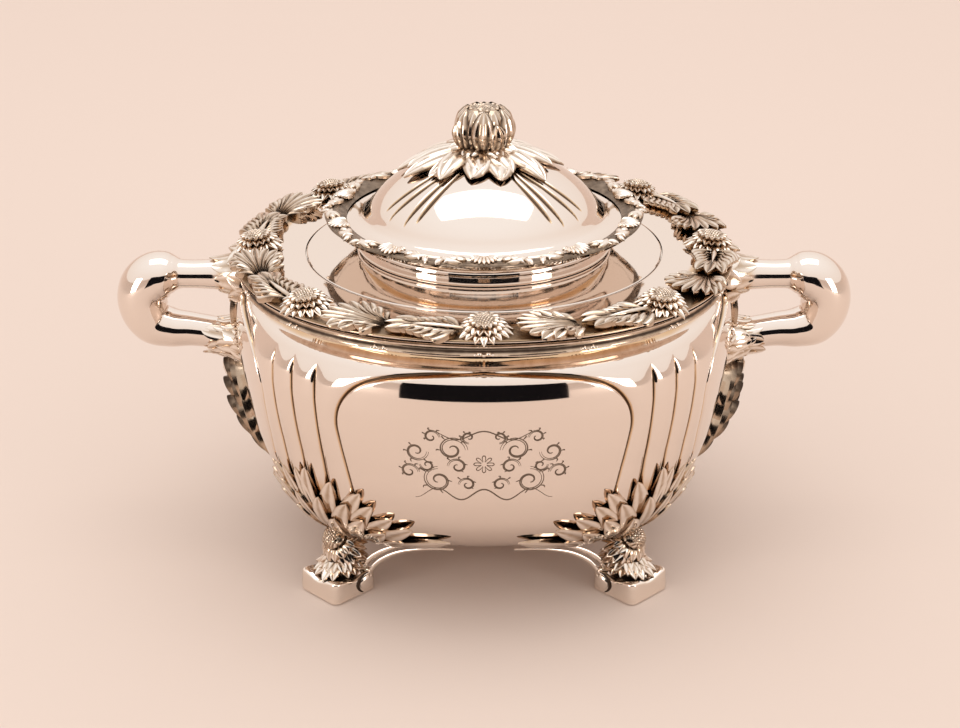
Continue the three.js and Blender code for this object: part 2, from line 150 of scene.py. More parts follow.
class Piece:
    """Collects grids of points, with a recess value at each, into one closed mesh."""

    def __init__(self, name: str) -> None:
        """Starts an empty piece.

        Args:
            name: the name of the piece.
        """
        self.name = name
        self.points: list[Array] = []
        self.recess: list[Array] = []
        self.faces: list[Array] = []
        self.count = 0

    def _turn_out(self, points: Array, quads: Array) -> Array:
        """Reverses the faces where their signed volume, a sum of a . (b x c) + a . (c x d), is below zero.

        Args:
            points: the points of a closed surface.
            quads: the numbers of each face's corners.

        Returns:
            The faces, pointing outwards.
        """
        middle = points.mean(axis=0)
        a, b, c, d = (points[quads[:, k]] - middle for k in range(4))
        first, second = (np.einsum("ij,ij->i", a, np.cross(*pair)) for pair in ((b, c), (c, d)))
        volume = (first + second).sum()
        return quads if volume > 0 else quads[:, ::-1]

    def _keep(self, points: Array, recess: Array, quads: Array) -> None:
        """Stores points and outward faces.

        Args:
            points: the points of a closed surface.
            recess: the tarnish and painted shade at each point.
            quads: the numbers of each face's corners.
        """
        self.faces.append(self._turn_out(points, quads) + self.count)
        self.points.append(points)
        self.recess.append(recess)
        self.count += len(points)

    def add_shell(self, grid: Array, wrap: Wrap, recess: Array | float = 0.0) -> None:
        """Adds a grid that closes on itself, with flat fans at open ends.

        Args:
            grid: points of shape (rows, columns, 3); columns always join round.
            wrap: BOTH when the last row also joins the first.
            recess: 0 on polished metal to 1 in a tarnished recess or deep painted shade, one value or a grid.
        """
        rows, cols = grid.shape[:2]
        index = np.arange(rows * cols).reshape(rows, cols)
        across = np.roll(index, -1, axis=1)
        if wrap is Wrap.BOTH:
            quads = [cells(index, across, np.roll(across, -1, axis=0), np.roll(index, -1, axis=0))]
        else:
            quads = [cells(index[:-1], across[:-1], across[1:], index[1:])]
        points = grid.reshape(-1, 3)
        mask = np.broadcast_to(np.asarray(recess, float), (rows, cols)).reshape(-1)
        if wrap is Wrap.ROUND:
            hubs = np.stack([grid[0].mean(axis=0), grid[-1].mean(axis=0)])
            hub = np.full(cols, rows * cols)
            quads += [cells(hub, across[0], index[0], hub), cells(hub + 1, index[-1], across[-1], hub + 1)]
            points = np.concatenate([points, hubs])
            mask = np.concatenate([mask, [mask[0], mask[-1]]])
        self._keep(points, mask, np.concatenate(quads))

    def add_sheet(self, top: Array, under: Array, recess: Array | float = 0.0) -> None:
        """Adds a closed sheet: an upper grid, an under grid and the edge between them.

        Args:
            top: points of shape (rows, columns, 3).
            under: points of the same shape, below the first.
            recess: one value or a grid for the upper side; the underside has its own.
        """
        rows, cols = top.shape[:2]
        index = np.arange(rows * cols).reshape(rows, cols)
        quads = cells(index[:-1, :-1], index[:-1, 1:], index[1:, 1:], index[1:, :-1])
        low = quads[:, ::-1] + rows * cols
        loop = np.concatenate([index[0, :-1], index[:-1, -1], index[-1, :0:-1], index[:0:-1, 0]])
        after = np.roll(loop, -1)
        edge = cells(after, loop, loop + rows * cols, after + rows * cols)
        mask = np.broadcast_to(np.asarray(recess, float), (rows, cols)).reshape(-1)
        self._keep(
            np.concatenate([top.reshape(-1, 3), under.reshape(-1, 3)]),
            np.concatenate([mask, np.full(rows * cols, UNDERSIDE)]),
            np.concatenate([quads, low, edge]),
        )

    def build(self, finish: bpy.types.Material, crease: float = 48.0) -> bpy.types.Object:
        """Makes the mesh and its object.

        Args:
            finish: the material of the whole piece.
            crease: edges sharper than this many degrees are shaded sharp.

        Returns:
            The new object, at the origin.
        """
        points = np.concatenate(self.points) * MM
        quads = np.concatenate(self.faces)
        fan = quads[:, 0] == quads[:, 3]
        sizes = np.where(fan, 3, 4)
        loops = quads[np.arange(4)[None, :] < sizes[:, None]]
        mesh = bpy.data.meshes.new(self.name)
        mesh.vertices.add(len(points))
        mesh.vertices.foreach_set("co", points.astype(np.float32).ravel())
        mesh.loops.add(len(loops))
        mesh.loops.foreach_set("vertex_index", loops.astype(np.int32))
        mesh.polygons.add(len(sizes))
        starts = np.concatenate([[0], np.cumsum(sizes)[:-1]])
        mesh.polygons.foreach_set("loop_start", starts.astype(np.int32))
        mesh.polygons.foreach_set("use_smooth", np.ones(len(sizes), bool))
        layer = mesh.attributes.new("recess", "FLOAT", "POINT")
        layer.data.foreach_set("value", np.concatenate(self.recess).astype(np.float32))
        mesh.update(calc_edges=True)
        mesh.validate()
        mesh.set_sharp_from_angle(angle=np.radians(crease))
        mesh.materials.append(finish)
        piece = bpy.data.objects.new(self.name, mesh)
        bpy.context.scene.collection.objects.link(piece)
        LOG.info("%s: %d points", self.name, len(points))
        return piece


def turned(profile: Array, segments: int, change: Callable[[Array, Array], Array] | None = None) -> Array:
    """Turns a profile of (radius, height) round the Z axis.

    Args:
        profile: the outline, of shape (n, 2).
        segments: how many steps round.
        change: optional addition to the radius, from the azimuth and the height.

    Returns:
        A grid of points with one row for each profile point.
    """
    angle = np.linspace(0.0, 2 * np.pi, segments, endpoint=False)[None, :]
    radius, height = profile[:, 0:1], profile[:, 1:2]
    if change is not None:
        radius = radius + change(*np.broadcast_arrays(angle, height))
    return polar(radius, angle, height)


# ---------------------------------------------------------------- finishes


def add_node(tree: bpy.types.NodeTree, kind: str, inputs: dict, **options: object) -> bpy.types.Node:
    """Adds a node, sets its options and then fills its inputs.

    Args:
        tree: the node tree.
        kind: the type of the node.
        inputs: for each input, the value that it holds or the socket that feeds it.
        **options: options of the node.

    Returns:
        The node.
    """
    node = tree.nodes.new(kind)
    for option, value in options.items():
        setattr(node, option, value)
    for name, value in inputs.items():
        if isinstance(value, bpy.types.NodeSocket):
            tree.links.new(value, node.inputs[name])
        else:
            node.inputs[name].default_value = value
    return node


def new_material(name: str) -> tuple[bpy.types.Material, bpy.types.Node]:
    """Makes a material with nodes.

    Args:
        name: its name.

    Returns:
        The material and its Principled BSDF.
    """
    material = bpy.data.materials.new(name)
    material.use_nodes = True
    return material, material.node_tree.nodes["Principled BSDF"]


def tarnish_and_shade_group() -> bpy.types.NodeTree:
    """Builds the shared node group that turns a recess value into tarnish, painted shade and fine wear.

    A cloud is added to the recess value. A warm film comes first as the sum grows, then the dark tarnish with its
    own roughness, and fine grain stands up only where it is dark. Under the bowl's rim and on the lower half of
    each bead the same colours are painted shade.

    Returns:
        A shader node group. Its inputs are the recess value, the bright, warm and dark
        colours, the two roughnesses and the grain size; its outputs are the colour, the
        roughness and a height for a bump.
    """
    group = bpy.data.node_groups.new("silver_tarnish_and_shade", "ShaderNodeTree")
    for name, kind, value in (
        ("Recess", "NodeSocketFloat", 0.0),
        ("Bright", "NodeSocketColor", (0.9, 0.86, 0.8, 1.0)),
        ("Warm", "NodeSocketColor", (0.6, 0.4, 0.22, 1.0)),
        ("Dark", "NodeSocketColor", (0.1, 0.07, 0.05, 1.0)),
        ("Bright Roughness", "NodeSocketFloat", 0.06),
        ("Dark Roughness", "NodeSocketFloat", 0.5),
        ("Grain", "NodeSocketFloat", 160.0),
    ):
        group.interface.new_socket(name, in_out="INPUT", socket_type=kind).default_value = value
    for name, kind in (("Colour", "NodeSocketColor"), ("Roughness", "NodeSocketFloat"),
                       ("Height", "NodeSocketFloat")):
        group.interface.new_socket(name, in_out="OUTPUT", socket_type=kind)
    inlet = add_node(group, "NodeGroupInput", {}).outputs
    place = add_node(group, "ShaderNodeTexCoord", {}).outputs["Object"]
    cloud, fine = (
        add_node(group, "ShaderNodeTexNoise", {"Detail": detail, "Vector": place, "Scale": scale}).outputs["Fac"]
        for detail, scale in ((4.0, inlet["Grain"]), (2.0, 900.0))
    )
    spread = add_node(group, "ShaderNodeMath", {0: cloud, 1: 0.3, 2: -0.15}, operation="MULTIPLY_ADD")
    mask = add_node(group, "ShaderNodeMath", {0: inlet["Recess"], 1: spread.outputs["Value"]}, operation="ADD")
    film, edge = (
        add_node(group, "ShaderNodeMapRange", {"From Min": low, "From Max": high, "Value": mask.outputs["Value"]},
                 interpolation_type="SMOOTHSTEP").outputs["Result"]
        for low, high in ((0.06, 0.5), (0.42, 0.95))
    )
    tint = add_node(group, "ShaderNodeMix", {"Factor": film, "A": inlet["Bright"], "B": inlet["Warm"]},
                    data_type="RGBA")
    colour = add_node(group, "ShaderNodeMix", {"Factor": edge, "A": tint.outputs["Result"], "B": inlet["Dark"]},
                      data_type="RGBA")
    rough = add_node(group, "ShaderNodeMix",
                     {"Factor": edge, "A": inlet["Bright Roughness"], "B": inlet["Dark Roughness"]},
                     data_type="FLOAT")
    worn = add_node(group, "ShaderNodeMath", {0: cloud, 1: 0.05, 2: rough.outputs["Result"]},
                    operation="MULTIPLY_ADD")
    height = add_node(group, "ShaderNodeMath", {0: fine, 1: edge}, operation="MULTIPLY")
    add_node(group, "NodeGroupOutput", {
        "Colour": colour.outputs["Result"], "Roughness": worn.outputs["Value"], "Height": height.outputs["Value"],
    })
    return group


@dataclass(frozen=True)
class SilverFinish:
    """Polished silver with tarnish in its recesses, and with painted shade where the recess value carries it."""

    name: str
    bright: tuple[float, float, float]
    warm: tuple[float, float, float]
    dark: tuple[float, float, float]
    polish: float
    dull: float
    grain: float
    relief: float = 0.00005

    def build(self, group: bpy.types.NodeTree) -> bpy.types.Material:
        """Makes the material.

        Args:
            group: the shared node group for tarnish and painted shade.

        Returns:
            A material with the shared group feeding its own Principled BSDF.
        """
        material, shader = new_material(self.name)
        tree = material.node_tree
        recess = add_node(tree, "ShaderNodeAttribute", {}, attribute_name="recess")
        # The recess value carries tarnish in the hollows, and painted shade under the rim and on the lower half of
        # each bead.
        tarnish = add_node(tree, "ShaderNodeGroup", {
            "Recess": recess.outputs["Fac"],
            "Bright": (*self.bright, 1.0),
            "Warm": (*self.warm, 1.0),
            "Dark": (*self.dark, 1.0),
            "Bright Roughness": self.polish,
            "Dark Roughness": self.dull,
            "Grain": self.grain,
        }, node_tree=group).outputs
        bump = add_node(tree, "ShaderNodeBump",
                        {"Distance": self.relief, "Strength": 0.6, "Height": tarnish["Height"]})
        shader.inputs["Metallic"].default_value = 1.0
        tree.links.new(tarnish["Colour"], shader.inputs["Base Color"])
        tree.links.new(tarnish["Roughness"], shader.inputs["Roughness"])
        tree.links.new(bump.outputs["Normal"], shader.inputs["Normal"])
        return material


@dataclass(frozen=True)
class Finishes:
    """The finishes of the whole tureen."""

    plain: bpy.types.Material
    chased: bpy.types.Material
    inside: bpy.types.Material
    fixing: bpy.types.Material
    engraved: bpy.types.Material

    @staticmethod
    def build() -> "Finishes":
        """Makes every material once.

        Returns:
            The finishes, in the order of the fields.
        """
        group = tarnish_and_shade_group()
        # The warm and dark colours serve both the tarnish and the painted shade under the rim.
        return Finishes(*(SilverFinish(*values).build(group) for values in (
            ("polished_silver", (0.85, 0.76, 0.69), (0.73, 0.51, 0.31), (0.11, 0.07, 0.045), 0.03, 0.4, 60.0),
            ("chased_silver", (0.92, 0.84, 0.76), (0.54, 0.41, 0.3), (0.07, 0.048, 0.036), 0.09, 0.5, 260.0),
            ("inside_silver", (0.88, 0.83, 0.77), (0.6, 0.48, 0.36), (0.2, 0.14, 0.1), 0.16, 0.5, 90.0),
            ("turned_fixing", (0.62, 0.6, 0.57), (0.5, 0.44, 0.37), (0.2, 0.18, 0.15), 0.3, 0.5, 200.0),
            ("engraved_line", (0.3, 0.25, 0.21), (0.24, 0.19, 0.15), (0.1, 0.07, 0.05), 0.4, 0.6, 300.0),
        )))


# ---------------------------------------------------------------- host surfaces


@dataclass(frozen=True)
class BowlShape:
    """The outside of the bowl: a round profile, fuller at the corners, with flutes and panels."""

    outline: tuple[tuple[float, float], ...] = (
        (0.0, 24.0), (40.0, 24.5), (70.0, 26.5), (90.0, 32.5), (104.0, 42.0), (114.0, 54.0),
        (121.0, 71.0), (125.0, 88.0), (128.0, 107.0), (129.5, 124.0), (129.4, 133.0), (128.3, 139.0),
        (125.8, 143.4), (122.6, 146.4), (120.4, 150.0), (120.2, 153.6), (122.0, 157.0), (127.0, 160.5),
    )
    corner: tuple[tuple[float, float], ...] = (
        (24.0, 0.0), (36.0, 3.0), (46.0, 4.0), (58.0, 3.6), (88.0, 3.0), (107.0, 3.6),
        (122.0, 3.6), (136.0, 2.6), (146.0, 1.8), (161.0, 1.8),
    )
    panel_edge: float = 12.3
    flute_line: float = 6.8
    panel_top: float = 144.6

    def panel_half(self, z: Array) -> Array:
        """Works out half the angle of a corner's fluted field: narrow in the middle, opening like an arch above.

        Args:
            z: height in millimetres.

        Returns:
            The half angle in degrees.
        """
        t = np.clip((z - 110.0) / (self.panel_top - 110.0), 0.0, 1.0)
        low = np.clip((110.0 - z) / 34.0, 0.0, 2.0)
        return self.panel_edge + 1.5 * low + 11.0 * t**2.2 + 21.4 * t**10

    def detail(self, angle: Array, z: Array) -> tuple[Array, Array]:
        """Works out the chased relief of the wall and how tarnished it is.

        A corner has four rounded flutes: between two grooves the surface swells as the
        0.7th power of 4x(1-x), and each groove is a narrow bell-shaped cut. The smooth
        panels between corners stand a little proud, with a crisp step at their edge. The
        distance to the edge is the arc length, shortened by the slope of the edge.

        Args:
            angle: azimuth in radians.
            z: height in millimetres.

        Returns:
            The addition to the radius in millimetres, and the recess value.
        """
        off = (np.degrees(angle) % 90.0) - 45.0
        side = np.abs(off)
        half = self.panel_half(z)
        arc = 128.0 * np.pi / 180.0
        slope = (self.panel_half(z + 0.1) - self.panel_half(z - 0.1)) / 0.2 * arc
        edge = (side - half) * arc / np.sqrt(1.0 + slope**2)
        live = smooth_step((z - 30.0) / 14.0)
        top = 1.0 - smooth_step((z - 131.0) / 10.0)
        inner = np.minimum(side / self.flute_line, 1.0)
        outer = np.clip((side - self.flute_line) / np.maximum(half - self.flute_line, 1e-3), 0.0, 1.0)
        x = np.where(side < self.flute_line, inner, outer)
        swell = np.clip(4.0 * x * (1.0 - x), 0.0, 1.0) ** 0.7 * (edge < 0)
        width = 0.45 + 0.35 * np.clip((138.0 - z) / 60.0, 0.0, 1.0)
        cut_mid = bell(side * arc / width) + bell((side - self.flute_line) * arc / width)
        cut_edge = bell((edge + 0.3) / 0.62) * (1.0 - smooth_step((z - self.panel_top + 1.4) / 1.2))
        raised = smooth_step((edge + 0.25) / 1.5) * (1.0 - smooth_step((z - self.panel_top + 2.6) / 3.2))
        change = live * (2.1 * swell * top - 0.6 * cut_mid * top - 0.6 * cut_edge + 1.5 * raised)
        recess = live * np.clip(1.3 * cut_mid * top + 1.25 * cut_edge, 0.0, 1.0)
        return change, recess

    def columns(self, z: Array) -> Array:
        """Gives azimuths for the wall's columns that follow the grooves at each height.

        Every corner has the same steps: between two grooves they bunch up at both ends
        as half a cosine, and on the panel they open out from its edge with a power.

        Args:
            z: heights of the rows.

        Returns:
            Azimuths in radians, one row for each height.
        """
        narrow = 0.5 * (1.0 - np.cos(np.pi * np.arange(12) / 12))
        middle = 0.5 * (1.0 - np.cos(np.pi * np.arange(18) / 18))
        panel = (np.arange(34) / 34.0) ** 1.7
        half = self.panel_half(z)[:, None]
        right = np.concatenate([
            np.repeat(self.flute_line * narrow[None, :], len(z), axis=0),
            self.flute_line + (half - self.flute_line) * middle[None, :],
            half + (45.0 - half) * panel[None, :],
        ], axis=1)
        left = -np.concatenate([right[:, 1:], np.full((len(z), 1), 45.0)], axis=1)[:, ::-1]
        corner = np.concatenate([left, right], axis=1)
        return np.radians(np.concatenate([corner + 45.0 + 90.0 * k for k in range(4)], axis=1))

    def surface(self, angle: Array, z: Array, carved: bool = True) -> Array:
        """Gives points on the outside.

        Args:
            angle: azimuth in radians.
            z: height in millimetres, from the edge of the base to the rim.
            carved: whether flutes and panels are included.

        Returns:
            Points in millimetres.
        """
        curve = spline(self.outline, 400)
        radius = np.interp(z, curve[:, 1], curve[:, 0])
        heights, amounts = np.transpose(self.corner)
        radius = radius + np.interp(z, heights, amounts) * 0.5 * (1.0 - np.cos(4.0 * angle))
        if carved:
            radius = radius + self.detail(angle, z)[0]
        return polar(radius, angle, z)


BOWL = BowlShape()
PLATE_LOW = 160.8
PLATE_MIDDLE = 161.55
SEAT_TOP = PLATE_LOW - 0.3
ROD_LEAF_RADIUS = 9.0
PLATE_TOP = 162.3
PLATE_EDGE = 129.0
FULLNESS = 3.2


def rim_fullness(angle: Array) -> Array:
    """Returns how much further out the rim goes over the feet than at the sides."""
    return FULLNESS * 0.5 * (1.0 - np.cos(4.0 * angle))


class RimChart:
    """Lays sheets on the top plate: along the rim clockwise, and outwards."""

    def __init__(self, azimuth: float, radius: float = 119.0) -> None:
        """Sets the azimuth in degrees and the radius of the chart's own origin."""
        self.azimuth = np.radians(azimuth)
        self.radius = radius

    def __call__(self, along: Array, out: Array, up: Array) -> Array:
        """Places points: the plate is level, and past its edge it drops with the square of the way.

        Args:
            along: length along the rim, clockwise.
            out: length outwards.
            up: height over the plate.

        Returns:
            Points in millimetres.
        """
        angle = self.azimuth - along / self.radius
        r = self.radius + out + rim_fullness(angle) * smooth_step((self.radius + out - 96.0) / 20.0)
        over = np.maximum(self.radius + out - PLATE_EDGE + 1.0, 0.0)
        return polar(r, angle, PLATE_TOP + up - 0.11 * over**2)


class BowlChart:
    """Lays sheets on the bowl's outside: sideways from an azimuth, and up in height."""

    low = 25.0
    high = 160.0

    def __init__(self, azimuth: float, spread: float = 126.0) -> None:
        """Sets the azimuth in degrees and the radius that turns a sideways length to an angle."""
        self.azimuth = np.radians(azimuth)
        self.spread = spread

    def __call__(self, side: Array, height: Array, up: Array) -> Array:
        """Places points on the plain wall, then moves them out along its normal.

        Args:
            side: length sideways.
            height: height over the floor.
            up: distance from the wall.

        Returns:
            Points in millimetres.
        """
        angle = self.azimuth + side / self.spread
        z = np.clip(height, self.low, self.high)
        base = BOWL.surface(angle, z, carved=False)
        da = BOWL.surface(angle + 0.004, z, carved=False) - base
        dz = BOWL.surface(angle, z + 0.4, carved=False) - base
        n = np.cross(da, dz)
        n /= np.maximum(np.linalg.norm(n, axis=-1, keepdims=True), 1e-9)
        return base + n * up[..., None]


class DomeChart:
    """Lays sheets on a round hill about the Z axis: outwards from the axis, and sideways."""

    def __init__(self, azimuth: float, hill: Callable[[Array], Array]) -> None:
        """Sets the azimuth in degrees and the hill's height by radius."""
        self.azimuth = np.radians(azimuth)
        self.hill = hill

    def __call__(self, out: Array, side: Array, up: Array) -> Array:
        """Places points at the hill's height plus up, pushed out by its slope.

        Args:
            out: length outwards from the axis.
            side: length sideways.
            up: distance from the hill.

        Returns:
            Points in millimetres.
        """
        c, s = np.cos(self.azimuth), np.sin(self.azimuth)
        r = np.hypot(out, side)
        slope = (self.hill(r + 0.3) - self.hill(r - 0.3)) / 0.6
        lean = 1.0 / np.sqrt(1.0 + slope**2)
        push = 1.0 - slope * lean * up / np.maximum(r, 1.0)
        x, y = (out * c - side * s) * push, (out * s + side * c) * push
        return np.stack([x, y, self.hill(r) + up * lean], axis=-1)


class BlossomChart:
    """Lays petals round a blossom: outwards from its centre and sideways, on a drooping cone."""

    def __init__(self, centre: Sequence[float], azimuth: float, turn: float, tilt: float, droop: float) -> None:
        """Sets where the blossom is and how it lies.

        Args:
            centre: the blossom's centre in millimetres.
            azimuth: the way that it leans, in degrees.
            turn: the turn of one petal about the blossom's own axis, in degrees.
            tilt: how far it leans, in degrees.
            droop: fall over the square of the length from the centre.
        """
        self.centre = np.asarray(centre, float)
        self.azimuth = np.radians(azimuth)
        self.turn = np.radians(turn)
        self.tilt = np.radians(tilt)
        self.droop = droop

    def __call__(self, out: Array, side: Array, up: Array) -> Array:
        """Places points in the blossom's own plane and then leans the plane outwards.

        Args:
            out: length from the blossom's centre.
            side: length sideways.
            up: height over the plane, which droops with the square of the length.

        Returns:
            Points in millimetres.
        """
        c, s = np.cos(self.turn), np.sin(self.turn)
        x, y = out * c - side * s, out * s + side * c
        z = up - self.droop * (x**2 + y**2)
        ct, st = np.cos(self.tilt), np.sin(self.tilt)
        x, z = x * ct + z * st, z * ct - x * st
        return swing(x, y, z, self.azimuth) + self.centre


# ---------------------------------------------------------------- leaves


@dataclass(frozen=True)
class Leaf:
    """One leaf, petal or finger, as a sheet that follows a bending line on a chart.

    The half width is the sine of pi times u to a power that puts the widest place where it
    is asked for. Across the sheet the height is a crown that falls with v squared, plus
    raised ribs, minus a channel; along it the height goes from lift at the base to tip,
    with a curl that grows with the cube of u. The tarnish gathers at the two edges with
    the fourth power of v, in the channel as a bell, and at the foot with the cube of 1 - u,
    and it is rubbed off the ribs.
    """

    start: tuple[float, float]
    heading: float
    length: float
    width: float
    bend: float = 0.0
    widest: float = 0.4
    blunt: float = 0.8
    lift: float = 1.6
    tip: float = 0.8
    belly: float = 0.6
    crown: float = 0.5
    channel: float = 0.0
    rib: float = 0.0
    ribs: int = 1
    curl: float = 0.6
    thick: float = 1.8
    rows: int = 14
    cols: int = 7
    shade: float = 0.2

    @staticmethod
    def between(start: tuple[float, float], end: tuple[float, float], width: float, bend: float,
                **shape: float) -> "Leaf":
        """Makes a leaf from its foot to its tip: a bent line leaves its chord by half its bend.

        Args:
            start: the foot.
            end: the tip.
            width: half the width.
            bend: the whole turn of the leaf's line in radians.
            **shape: the other fields.

        Returns:
            The leaf.
        """
        across, along = end[0] - start[0], end[1] - start[1]
        heading = float(np.arctan2(along, across)) - bend / 2.0
        length = float(np.hypot(across, along)) * (1.0 + bend * bend / 24.0)
        return Leaf(start, heading, length, width, bend=bend, **shape)

    def lay(self, piece: Piece, chart: Chart) -> None:
        """Puts the leaf on a chart as a closed sheet.

        Args:
            piece: the mesh that takes it.
            chart: the rule that places points on the host surface.
        """
        u = np.linspace(0.0, 1.0, self.rows)[:, None]
        v = np.linspace(-1.0, 1.0, self.cols)[None, :]
        heading = self.heading + self.bend * u
        step = self.length / (self.rows - 1)
        a = self.start[0] + step * (np.cumsum(np.cos(heading), axis=0) - np.cos(heading[0]))
        b = self.start[1] + step * (np.cumsum(np.sin(heading), axis=0) - np.sin(heading[0]))
        power = np.log(0.5) / np.log(self.widest)
        half = self.width * (0.03 + 0.97 * np.sin(np.pi * np.clip(u, 0.02, 0.999) ** power) ** self.blunt)
        across = half * v
        s = a - np.sin(heading) * across
        t = b + np.cos(heading) * across
        body = np.sin(np.pi * u) ** 0.7
        ridge = np.zeros_like(v)
        for k in range(self.ribs):
            place = 0.0 if self.ribs == 1 else -0.6 + 1.2 * k / (self.ribs - 1)
            ridge = ridge + bell((v - place) * 2.2 * self.ribs)
        shape = self.crown * (1.0 - v**2) - self.channel * bell(v * 2.0) + self.rib * ridge
        line = self.lift * (1.0 - u) + self.tip * u + self.belly * body
        up = line + shape * (0.35 + 0.65 * body) + self.curl * u**3
        deep = self.shade + (0.3 + 0.14 * self.channel) * np.abs(v) ** 4 + 0.42 * self.channel * bell(v * 2.6)
        deep = deep + 0.55 * (1.0 - u) ** 3 - 0.5 * (self.rib > 0) * ridge * (u > 0.1)
        under = np.maximum(up - self.thick * (1.0 - 0.8 * u**5) * (1.0 - 0.35 * v**4), -0.4)
        piece.add_sheet(chart(s, t, up), chart(s, t, under), np.clip(deep, 0.0, 1.0))


def bead(piece: Piece, centre: Array, radius: float, squash: float = 0.8, recess: float = 0.25) -> None:
    """Adds a small round bead: a globe of latitude rings, squashed in height, painted darker towards its bottom as
    painted shade.

    Args:
        piece: the mesh that takes it.
        centre: its centre in millimetres.
        radius: its radius in millimetres.
        squash: height over width.
        recess: its tarnish.
    """
    lat = np.linspace(-np.pi / 2 + 0.2, np.pi / 2 - 0.2, 6)[:, None]
    lon = np.linspace(0.0, 2 * np.pi, 9, endpoint=False)[None, :]
    globe = polar(np.cos(lat), lon, squash * np.sin(lat))
    # Painted shade: the recess grows from the top of the bead to its bottom, so the lower half is painted darker.
    piece.add_shell(np.asarray(centre) + radius * globe, Wrap.ROUND, recess + 0.25 * (1.0 - np.sin(lat)))


def seed_disc(piece: Piece, place: Chart, radius: float, height: float) -> None:
    """Adds the button of a blossom: a dome covered in tiny florets.

    The height is a round cap plus a product of two cosines on a turned lattice, which
    makes a field of small bumps.

    Args:
        piece: the mesh that takes it.
        place: the chart, outwards and sideways from the blossom's centre.
        radius: the button's radius.
        height: its height over the chart.
    """
    r = np.linspace(radius, radius * 0.04, 16)[:, None]
    a = np.linspace(0.0, 2 * np.pi, 48, endpoint=False)[None, :]
    x, y = r * np.cos(a), r * np.sin(a)
    bumps = np.cos(x * 3.3 + y * 1.2) * np.cos(y * 3.3 - x * 1.2)
    cap = height * np.sqrt(np.clip(1.0 - 0.92 * (r / radius) ** 2, 0.0, 1.0)) + 0.42 * bumps
    piece.add_shell(place(x, y, cap), Wrap.ROUND, np.clip(0.5 - 0.55 * bumps, 0.0, 1.0))


# ---------------------------------------------------------------- sub-assemblies


